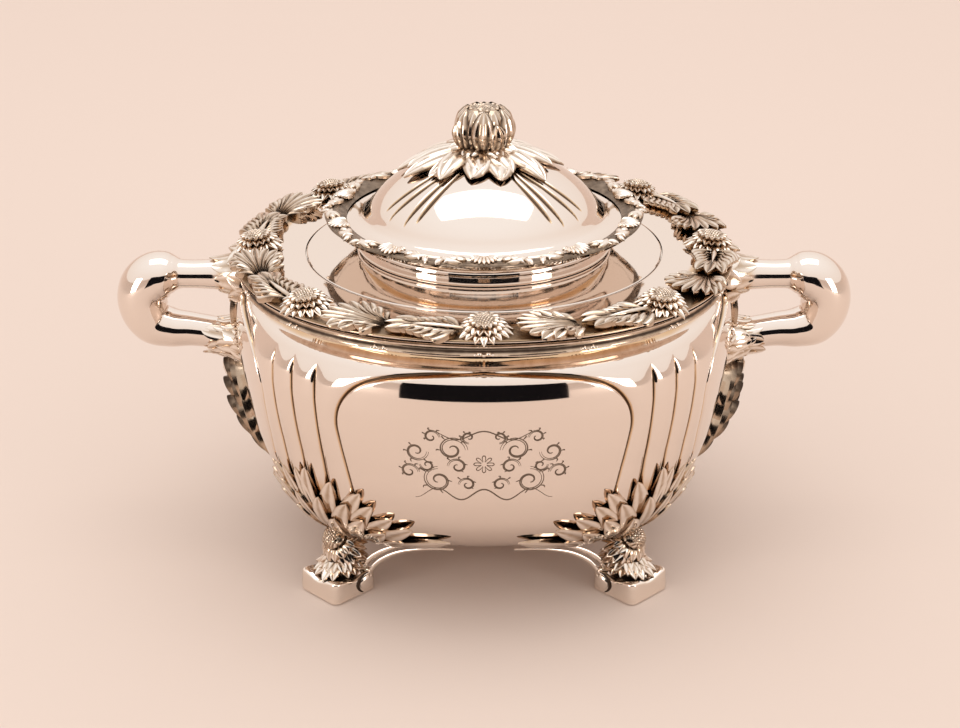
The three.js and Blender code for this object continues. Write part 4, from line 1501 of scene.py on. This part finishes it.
        Leaf(
            (0.0, 60.0), down, 24.0, 1.6, widest=0.3, lift=3.0, tip=0.6, belly=0.4, crown=0.8, curl=0.0,
            thick=3.0, rows=14, cols=5, shade=0.1,
        ).lay(piece, chart)
        return piece.build(self.finishes.chased, crease=40.0)

    def build(self) -> None:
        """Builds the four pieces of both handles."""
        for side in Side:
            for maker, node in (
                (self.bar, "handle"), (self.collar, "handle_collar"),
                (self.calyx, "handle_calyx"), (self.garland, "side_garland"),
            ):
                stand_in(maker(side), "tureen", f"{node}_{side.name}")


@dataclass
class Lid:
    """The lift-off lid: flat edge, collar, neck, leaf border and domed top."""

    finishes: Finishes
    segments: int = 384
    dome_keys: tuple[tuple[float, float], ...] = (
        (65.6, 179.9), (62.9, 181.2), (60.9, 183.6), (58.6, 187.6), (54.8, 192.4), (49.6, 197.2), (42.8, 202.0),
        (35.0, 206.2), (26.5, 209.6), (18.0, 212.0), (9.0, 213.5), (3.0, 213.9),
    )

    def hill(self, r: Array) -> Array:
        """Returns the dome's height at a radius."""
        curve = spline(self.dome_keys, 200)[::-1]
        return np.interp(r, curve[:, 0], curve[:, 1])

    def build_flange(self) -> bpy.types.Object:
        """Builds the flat edge with its fine line against the plate.

        Returns:
            The new piece.
        """
        profile = np.array([
            [92.4, PLATE_LOW], [92.9, 161.1], [92.9, 161.9], [92.5, 162.3], [90.0, 162.38], [85.0, 162.55],
            [79.0, 162.75],
            [73.0, 163.4], [69.0, 164.0], [66.8, 164.25], [62.5, 164.3], [62.5, 162.8], [70.0, 161.8],
            [78.0, PLATE_LOW],
        ])
        piece = Piece("lid_edge")
        piece.add_shell(turned(profile, self.segments), Wrap.BOTH, 0.0)
        return piece.build(self.finishes.plain, crease=35.0)

    def build_collar(self) -> bpy.types.Object:
        """Builds the ring under the edge that keeps the lid in its seat.

        Returns:
            The new piece.
        """
        top = SEAT_TOP
        profile = np.array([[84.2, top - 7.2], [85.0, top - 7.2], [85.8, top - 6.4], [85.8, top], [84.2, top]])
        piece = Piece("lid_collar")
        piece.add_shell(turned(profile, 192), Wrap.BOTH, 0.1)
        return piece.build(self.finishes.inside, crease=35.0)

    def build_neck(self) -> bpy.types.Object:
        """Builds the neck: a convex band, a fillet, and a cove that spreads under the border.

        Returns:
            The new piece.
        """
        outer = spline([(65.8, 164.6), (66.4, 165.4), (66.7, 168.5), (66.3, 171.6), (65.4, 173.2)], 18)
        fillet = spline([(66.1, 173.6), (66.9, 174.1), (66.3, 174.7), (65.9, 175.2)], 8)
        cove = spline([(66.2, 176.0), (68.0, 177.2), (72.6, 177.9), (77.0, 178.3), (80.0, 178.9)], 14)
        back = np.array([[80.0, 179.8], [76.0, 178.8], [72.0, 178.0], [66.0, 177.35], [63.1, 175.6], [63.1, 164.6]])
        piece = Piece("lid_neck_band")
        profile = np.concatenate([outer, fillet, cove, back])
        piece.add_shell(turned(profile, self.segments), Wrap.BOTH, 0.55 * (np.abs(profile[:, 1:2] - 173.4) < 0.35))
        return piece.build(self.finishes.plain, crease=50.0)

    def dome_relief(self, angle: Array, radius: Array) -> tuple[Array, Array]:
        """Cuts four curved lines in each corner of the dome.

        Each line starts under the finial leaves and swings towards the side as it comes
        down. Its depth is a bell across and a long lens along.

        Args:
            angle: azimuth in radians.
            radius: distance from the axis.

        Returns:
            Depth below the dome in millimetres and the recess value.
        """
        deg = np.degrees(angle)
        fold = np.abs((deg + 90.0) % 180.0 - 90.0)
        down = np.clip((radius - 24.0) / 33.0, 0.0, 1.0)
        depth = np.zeros_like(radius)
        for foot, head, end in ((27.5, 40.0, 1.0), (35.0, 47.5, 1.04), (46.5, 55.5, 1.04), (52.8, 62.0, 1.0)):
            line = head + (foot - head) * down**1.3
            away = (fold - line) * np.pi / 180.0 * radius
            length = smooth_step((radius - 22.0) / 8.0) * (1.0 - smooth_step((radius - 54.0 * end) / 3.2))
            width = 0.5 + 0.6 * np.sin(np.pi * np.clip(down, 0.0, 1.0) ** 2.0)
            depth = np.maximum(depth, length * bell(away / width))
        return depth, np.clip(1.5 * depth, 0.0, 1.0)

    def build_dome(self) -> bpy.types.Object:
        """Builds the dome, outside and inside, with its flat flange under the border.

        Returns:
            The new piece.
        """
        rise = spline(self.dome_keys, 110)
        flange = np.array([[80.0, 180.1], [80.0, 181.3], [77.0, 180.5], [74.0, 179.9], [70.0, 179.5],
                           [67.4, 179.5]])
        inner = spline([(2.9, 212.2), (17.6, 210.3), (34.0, 204.5), (48.1, 195.4), (56.2, 186.4), (59.4, 180.6)],
                       30)
        back = np.array([[61.4, 178.4], [66.0, 178.0], [72.0, 178.4]])
        profile = np.concatenate([flange, rise, inner, back])
        angle = np.linspace(0.0, 2 * np.pi, 640, endpoint=False)[None, :]
        cut, deep = self.dome_relief(*np.broadcast_arrays(angle, rise[:, 0:1]))
        slope = np.gradient(rise, axis=0)
        slope /= np.linalg.norm(slope, axis=1, keepdims=True)
        radius, height = (np.repeat(profile[:, k:k + 1], angle.size, axis=1) for k in (0, 1))
        first = len(flange)
        last = first + len(rise)
        radius[first:last] -= cut * slope[:, 1:2]
        height[first:last] += cut * slope[:, 0:1]
        recess = np.full_like(radius, 0.05)
        recess[first:last] = deep
        piece = Piece("lid_dome_top")
        piece.add_shell(polar(radius, angle, height), Wrap.BOTH, recess)
        return piece.build(self.finishes.plain, crease=55.0)

    def build_border(self) -> bpy.types.Object:
        """Builds the border: a moulded ring, ten small shell fans, and leaf scrolls on both sides of each.

        Returns:
            The new piece.
        """
        profile = spline([(71.6, 180.4), (73.4, 181.2), (76.6, 182.4), (80.4, 182.9), (82.4, 182.3), (82.8, 181.6),
                          (81.4, 181.9)], 26)
        piece = Piece("lid_leaf_border")
        grid = turned(profile, 384, lambda a,
                      z: 0.4 * np.abs(np.cos(8.0 * a)) * smooth_step((profile[:, 0:1] - 76.0) / 5.0))
        under = turned(np.array([[80.0, 181.6], [76.0, 180.75]]), 384)
        piece.add_shell(np.concatenate([grid, under]), Wrap.BOTH, 0.75)
        for k in range(10):
            chart = DomeChart(36.0 * k - 90.0, lambda r: 182.5 - 0.03 * (r - 77.0) ** 2)
            for finger in range(-5, 6):
                Leaf(
                    (73.2, finger * 0.3), finger * 0.24, 9.6 - 0.16 * finger**2, 1.0, widest=0.75, blunt=0.55,
                    lift=0.8, tip=1.0, belly=0.7, crown=0.9, curl=0.7, thick=2.4, rows=8, cols=5, shade=0.0,
                ).lay(piece, chart)
            for sense in (-1.0, 1.0):
                for start, heading, length, bend, width in (
                    ((75.0, 9.0), 1.5, 12.0, -0.75, 1.7), ((80.8, 10.5), 1.75, 12.0, 0.5, 1.6),
                    ((77.6, 8.4), 0.9, 6.0, 1.6, 1.5),
                    ((78.0, 18.5), 1.9, 6.5, -1.6, 1.5),
                ):
                    Leaf(
                        (start[0], sense * start[1]), sense * heading, length, width, bend=sense * bend,
                        widest=0.5, lift=0.7, tip=1.0, belly=1.0, crown=0.8, curl=0.6, thick=2.4, rows=12,
                        cols=5, shade=0.0,
                    ).lay(piece, chart)
        return piece.build(self.finishes.chased, crease=45.0)

    def build(self) -> None:
        """Builds the lid's pieces and sets them in the place of their solids."""
        for maker, node in (
            (self.build_flange, "lid_flange"), (self.build_collar, "lid_bezel"), (self.build_neck, "lid_neck"),
            (self.build_dome, "lid_dome"), (self.build_border, "lid_border"),
        ):
            stand_in(maker(), "lid", node)


@dataclass
class Finial:
    """The bud on the lid and the ring of leaves under it."""

    finishes: Finishes
    lid: Lid
    low: float = 214.6
    top: float = 239.0

    def profile(self, t: Array) -> Array:
        """Works out the bud's radius as a smooth curve.

        Args:
            t: place from the foot, 0, to the top, 1.

        Returns:
            The radius in millimetres.
        """
        curve = spline([(0.0, 7.6), (0.12, 10.4), (0.3, 13.4), (0.5, 14.4), (0.72, 13.6), (0.88, 11.6), (1.0, 8.2)],
                       80)
        return np.interp(t, curve[:, 0], curve[:, 1])

    def bud_chart(self, azimuth: float) -> Chart:
        """Makes a chart up the bud.

        Args:
            azimuth: where the chart starts round the foot, in degrees.

        Returns:
            The chart.
        """
        centre = np.radians(azimuth)

        def chart(rise: Array, side: Array, up: Array) -> Array:
            """Places points by height along the bud and width round it.

            Args:
                rise: height over the foot.
                side: length round the bud.
                up: distance from the bud.

            Returns:
                Points in millimetres.
            """
            t = np.clip(rise / (self.top - self.low), 0.0, 1.0)
            r = self.profile(t)
            angle = centre + side / np.maximum(r, 4.0)
            return polar(r + up, angle, self.low + rise)

        return chart

    def build_bud(self) -> bpy.types.Object:
        """Builds the core, three rings of overlapping ribbed sepals and the crown of florets.

        Returns:
            The new piece.
        """
        piece = Piece("finial_bud_petals")
        t = np.linspace(0.0, 1.0, 30)
        core = np.stack([self.profile(t) - 1.5, self.low + t * (self.top - self.low - 1.2)], axis=-1)
        piece.add_shell(turned(core, 48), Wrap.ROUND, 0.9)
        for count, length, width, up, shift, lean in (
            (6, 24.2, 7.4, -1.3, 0.5, 0.05), (6, 23.4, 6.8, 0.0, 0.0, -0.1), (4, 17.5, 5.2, 1.0, 0.3, 0.16),
        ):
            for k in range(count):
                Leaf(
                    (0.0, 0.0), lean * (-1.0) ** k, length, width, bend=-2.0 * lean * (-1.0) ** k, widest=0.5,
                    blunt=0.62, lift=up, tip=up - 0.4, belly=0.2, crown=1.0, rib=1.1, ribs=3, curl=0.3,
                    thick=1.8, rows=22, cols=19, shade=0.62,
                ).lay(piece, self.bud_chart(-90.0 + 360.0 * (k + shift) / count))
        chart = BlossomChart((0.0, 0.0, self.top - 3.4), 0.0, 0.0, 0.0, 0.0)
        seed_disc(piece, chart, 9.4, 3.2)
        for k in range(14):
            a = 2 * np.pi * k / 14
            bead(piece, np.array([7.4 * np.cos(a), 7.4 * np.sin(a), self.top - 1.6]), 1.25, 0.9, 0.3)
        return piece.build(self.finishes.chased, crease=40.0)

    def build_leaves(self) -> bpy.types.Object:
        """Builds three rings of ribbed leaves draped over the dome, and the small cup under the bud.

        Returns:
            The new piece.
        """
        piece = Piece("finial_leaf_ring")
        for count, start, length, width, lift, shift in ((10, 6.0, 27.0, 7.6, 0.4, 0.0),
                                                         (9, 5.0, 22.0, 7.4, 1.8, 0.5),
                                                         (8, 5.0, 14.0, 5.6, 3.4, 0.2)):
            for k in range(count):
                wild = np.sin(7.0 * k + count)
                azimuth = 360.0 * (k + shift) / count + 5.0 * wild - 90.0
                sideways = abs(np.cos(np.radians(azimuth))) ** 2
                Leaf(
                    (start, 0.0), 0.1 * wild, (length + 10.0 * sideways * (count > 8)) * (1.0 + 0.08 * wild),
                    width, bend=0.5 * wild, widest=0.52, blunt=0.7, lift=lift, tip=0.8 + 0.25 * lift, belly=2.2,
                    crown=0.9, rib=0.9, ribs=3, curl=1.2, thick=2.6, rows=22, cols=19, shade=0.36,
                ).lay(piece, DomeChart(azimuth, self.lid.hill))
        cup = spline([(3.0, 214.2), (9.0, 214.6), (9.6, 216.4), (8.4, 218.0), (3.0, 218.4)], 16)
        piece.add_shell(turned(cup, 48), Wrap.BOTH, 0.8)
        return piece.build(self.finishes.chased, crease=40.0)

    def build(self) -> None:
        """Builds both pieces and sets them in the place of their solids."""
        for maker, node in ((self.build_bud, "finial_bud"), (self.build_leaves, "finial_leaves")):
            stand_in(maker(), "lid", node)


@dataclass
class Engraving:
    """A generic foliate scroll engraved on the front panel, the same left and right."""

    finishes: Finishes
    centre_height: float = 98.0
    width: float = 0.3
    proud: float = 1.56
    depth: float = 0.2

    def stroke(self, piece: Piece, points: Array, swell: float) -> None:
        """Adds one engraved line as a thin ribbon just off the wall.

        Args:
            piece: the mesh that takes it.
            points: sideways and upwards places along the line.
            swell: widening at the middle of the line.
        """
        u = np.linspace(0.0, 1.0, len(points))[:, None]
        along = np.gradient(points, axis=0)
        along /= np.maximum(np.linalg.norm(along, axis=1, keepdims=True), 1e-9)
        side = np.stack([-along[:, 1], along[:, 0]], axis=-1)
        half = self.width * (0.35 + swell * np.sin(np.pi * u))
        v = np.array([-1.0, 0.0, 1.0])[None, :, None]
        flat = points[:, None, :] + side[:, None, :] * half[:, None, :] * v
        chart = BowlChart(-90.0)
        proud = np.full(flat.shape[:2], self.proud)
        top, under = (chart(flat[..., 0], flat[..., 1], height) for height in (proud, proud - self.depth))
        piece.add_sheet(top, under, 0.6)

    @staticmethod
    def spiral(centre: tuple[float, float], radius: float, turns: float, start: float, sense: float) -> Array:
        """Draws a scroll that winds inwards: its radius shrinks evenly as the angle grows.

        Args:
            centre: its middle, sideways and up.
            radius: its outer radius.
            turns: how many turns it makes.
            start: the angle of its outer end in radians.
            sense: 1 anticlockwise, -1 clockwise.

        Returns:
            Places along the line, sideways and up.
        """
        t = np.linspace(0.0, 1.0, 60)
        angle = start + sense * turns * 2 * np.pi * t
        rho = radius * (1.0 - 0.82 * t)
        return np.stack([centre[0] + rho * np.cos(angle), centre[1] + rho * np.sin(angle)], axis=-1)

    def build(self) -> None:
        """Builds the scrolls, the leaves on them and a small blossom in the middle."""
        piece = Piece("engraved_scrolls")
        z0 = self.centre_height
        for mirror in (-1.0, 1.0):
            flip = np.array([mirror, 1.0])
            for centre, radius, turns, start, sense in (
                ((15.0, z0 + 8.0), 7.5, 1.4, np.pi, -1.0), ((32.0, z0 + 6.0), 6.0, 1.3, np.pi, 1.0),
                ((22.0, z0 - 10.0), 8.0, 1.45, np.pi / 2, -1.0), ((36.0, z0 - 6.0), 5.0, 1.2, np.pi, -1.0),
                ((8.0, z0 - 12.0), 4.5, 1.2, 0.0, 1.0), ((7.0, z0 + 15.0), 3.6, 1.1, -np.pi / 2, 1.0),
                ((12.5, z0 - 1.5), 5.0, 1.25, 0.0, 1.0), ((24.5, z0 + 14.5), 4.2, 1.15, np.pi, -1.0),
                ((27.0, z0 - 1.5), 3.8, 1.15, 0.0, -1.0),
            ):
                base = self.spiral(centre, radius, turns, start, sense)
                self.stroke(piece, base * flip, 0.9)
                self.stroke(piece, (np.array(centre) + (base - centre) * 0.84) * flip, 0.5)
                for k in (6, 14, 22, 30):
                    tip = base[k] + (base[k] - np.array(centre)) * 0.42
                    blade = np.linspace(0.0, 1.0, 12)[:, None]
                    bow = base[k] * (1 - blade) + tip * blade + np.array([[0.8, 0.5]]) * np.sin(np.pi * blade)
                    self.stroke(piece, bow * flip, 0.8)
        for k in range(8):
            a = k * np.pi / 4
            t = np.linspace(0.0, np.pi, 16)
            out = 1.4 + 3.4 * np.sin(t)
            petal = np.stack([out * np.cos(a + 0.3 * np.cos(t)), z0 + out * np.sin(a + 0.3 * np.cos(t))], axis=-1)
            self.stroke(piece, petal, 0.5)
        vine = np.linspace(-1.0, 1.0, 80)
        self.stroke(piece, np.stack([34.0 * vine, z0 - 18.0 + 3.2 * np.cos(3 * np.pi * vine)], axis=-1), 0.9)
        self.stroke(piece, np.stack([26.0 * vine, z0 + 16.0 + 2.4 * np.cos(2 * np.pi * vine)], axis=-1), 0.8)
        shape = piece.build(self.finishes.engraved)
        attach(shape, "tureen")


# ---------------------------------------------------------------- studio


@dataclass
class Studio:
    """The pale sweep, the soft lights and the camera."""

    target: tuple[float, float, float] = (0.0, 0.0, 0.0949)
    distance: float = 1.047
    pitch: float = 23.29
    lens: float = 72.7
    lamp_colour: tuple[float, float, float] = (1.0, 0.97, 0.94)

    def paper(self) -> None:
        """Builds the seamless paper: a floor that curves up far behind and to the sides."""
        r = np.concatenate([np.linspace(0.0, 3.0, 28), np.linspace(3.1, 5.0, 24)])
        bend = np.clip(r - 3.0, 0.0, None)
        z = 1.3 * (1.0 - np.cos(np.clip(bend / 2.0, 0.0, 1.0) * np.pi / 2))
        a = np.linspace(0.0, 2 * np.pi, 96, endpoint=False)
        grid = polar(r[1:, None], a, z[1:, None])
        rows, cols = grid.shape[:2]
        index = np.arange(rows * cols).reshape(rows, cols)
        across = np.roll(index, -1, axis=1)
        quads = cells(index[:-1], across[:-1], across[1:], index[1:])
        mesh = bpy.data.meshes.new("paper")
        mesh.from_pydata(grid.reshape(-1, 3).tolist(), [], quads.tolist() + [index[0][::-1].tolist()])
        mesh.polygons.foreach_set("use_smooth", np.ones(len(mesh.polygons), bool))
        material, shader = new_material("studio_paper")
        tree = material.node_tree
        shader.inputs["Roughness"].default_value = 0.85
        shader.inputs["Specular IOR Level"].default_value = 0.2
        place = add_node(tree, "ShaderNodeTexCoord", {})
        split = add_node(tree, "ShaderNodeSeparateXYZ", {"Vector": place.outputs["Object"]})
        # Painted shade: the paper is painted darker towards the front and lighter towards the back, standing in for
        # the fall of the light.
        ramp = add_node(tree, "ShaderNodeMapRange",
                        {"From Min": -0.6, "From Max": 1.8, "Value": split.outputs["Y"]})
        painted_falloff_tone = add_node(tree, "ShaderNodeMix", {
            "A": (0.68, 0.57, 0.505, 1.0), "B": (0.79, 0.655, 0.58, 1.0), "Factor": ramp.outputs["Result"],
        }, data_type="RGBA")
        tree.links.new(painted_falloff_tone.outputs["Result"], shader.inputs["Base Color"])
        mesh.materials.append(material)
        floor = bpy.data.objects.new("paper", mesh)
        bpy.context.scene.collection.objects.link(floor)

    def softbox(self, name: str, place: Sequence[float], aim: float, size: tuple[float, float],
                power: float) -> None:
        """Adds a rectangular soft light that faces a point on the axis.

        Args:
            name: the name of the light.
            place: where it stands, in metres.
            aim: height of the point that it faces.
            size: width and height in metres.
            power: power in watts.
        """
        light = bpy.data.lights.new(name, "AREA")
        light.shape = "RECTANGLE"
        light.size, light.size_y = size
        light.energy = power
        light.color = self.lamp_colour
        lamp = bpy.data.objects.new(name, light)
        lamp.location = place
        self.face(lamp, np.array([0.0, 0.0, aim]) - np.asarray(place, float))
        bpy.context.scene.collection.objects.link(lamp)

    @staticmethod
    def face(thing: bpy.types.Object, way: Array) -> None:
        """Turns an object so that its -Z axis points along a direction."""
        thing.rotation_euler = Vector(tuple(way)).to_track_quat("-Z", "Y").to_euler()

    @staticmethod
    def card(name: str, place: Sequence[float], size: tuple[float, float]) -> None:
        """Adds an upright black card that only shows in reflections.

        Args:
            name: the name of the card.
            place: its middle, in metres.
            size: width and height in metres.
        """
        x, z = np.meshgrid([-0.5, 0.5], [-0.5, 0.5])
        points = np.stack([x * size[0], np.zeros_like(x), z * size[1]], axis=-1).reshape(-1, 3) + np.asarray(place)
        mesh = bpy.data.meshes.new(name)
        mesh.from_pydata(points.tolist(), [], [(0, 1, 3, 2)])
        material, shader = new_material(name)
        shader.inputs["Base Color"].default_value = (0.008, 0.008, 0.01, 1.0)
        shader.inputs["Specular IOR Level"].default_value = 0.0
        mesh.materials.append(material)
        board = bpy.data.objects.new(name, mesh)
        board.visible_camera = False
        board.visible_shadow = False
        board.visible_diffuse = False
        bpy.context.scene.collection.objects.link(board)

    def sky(self) -> None:
        """Sets the dim room: a soft warm fill, brighter overhead."""
        world = bpy.data.worlds.new("studio_room")
        bpy.context.scene.world = world
        world.use_nodes = True
        tree = world.node_tree
        back = tree.nodes["Background"]
        place = add_node(tree, "ShaderNodeTexCoord", {})
        split = add_node(tree, "ShaderNodeSeparateXYZ", {"Vector": place.outputs["Generated"]})
        ramp = add_node(tree, "ShaderNodeValToRGB", {"Fac": split.outputs["Z"]})
        low, high = ramp.color_ramp.elements
        low.position, low.color = 0.0, (0.87, 0.755, 0.675, 1.0)
        high.position, high.color = 0.9, (1.0, 0.97, 0.95, 1.0)
        tree.links.new(ramp.outputs["Color"], back.inputs["Color"])
        back.inputs["Strength"].default_value = 1.1

    def camera(self) -> None:
        """Places the camera level left to right, looking down at the tureen from the front."""
        eye = bpy.data.cameras.new("view")
        eye.lens = self.lens
        eye.sensor_width = 36.0
        eye.shift_x = -4.0 / 960.0
        eye.dof.use_dof = False
        eye.clip_start = 0.05
        camera = bpy.data.objects.new("view", eye)
        p = np.radians(self.pitch)
        way = np.array([0.0, np.cos(p), -np.sin(p)])
        camera.location = np.asarray(self.target) - way * self.distance
        self.face(camera, way)
        bpy.context.scene.collection.objects.link(camera)
        bpy.context.scene.camera = camera

    def build(self) -> None:
        """Builds the whole studio."""
        self.paper()
        self.sky()
        self.softbox("key_left", (-1.0, -0.82, 0.3), 0.13, (0.4, 0.56), 3.2)
        self.softbox("key_right", (1.0, -0.82, 0.3), 0.13, (0.4, 0.56), 2.7)
        self.softbox("overhead", (0.0, 0.1, 1.9), 0.1, (2.0, 0.9), 8.0)
        self.card("black_card", (0.0, -0.56, 0.15), (0.63, 0.33))
        bpy.context.scene.view_settings.view_transform = "Standard"
        self.camera()


def dress_fixings(finishes: Finishes, frame: dict) -> None:
    """Gives the stud, washer and nut inside the lid their turned-metal finish.

    Args:
        finishes: the finishes of the whole tureen.
        frame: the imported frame.
    """
    for name in ("finial_washer", "finial_nut", "finial_stud"):
        node = frame["nodes"][name]
        node.data.materials.clear()
        node.data.materials.append(finishes.fixing)


def main() -> None:
    """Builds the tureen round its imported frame, then the studio."""
    logging.basicConfig(level=logging.INFO, format="%(name)s %(message)s")
    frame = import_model()
    finishes = Finishes.build()
    Bowl(finishes).build()
    Wreath(finishes).build()
    Feet(finishes).build()
    Handles(finishes).build()
    lid = Lid(finishes)
    lid.build()
    Finial(finishes, lid).build()
    Engraving(finishes).build()
    dress_fixings(finishes, frame)
    Studio().build()
    bpy.context.view_layer.update()


if __name__ == "__main__":
    main()
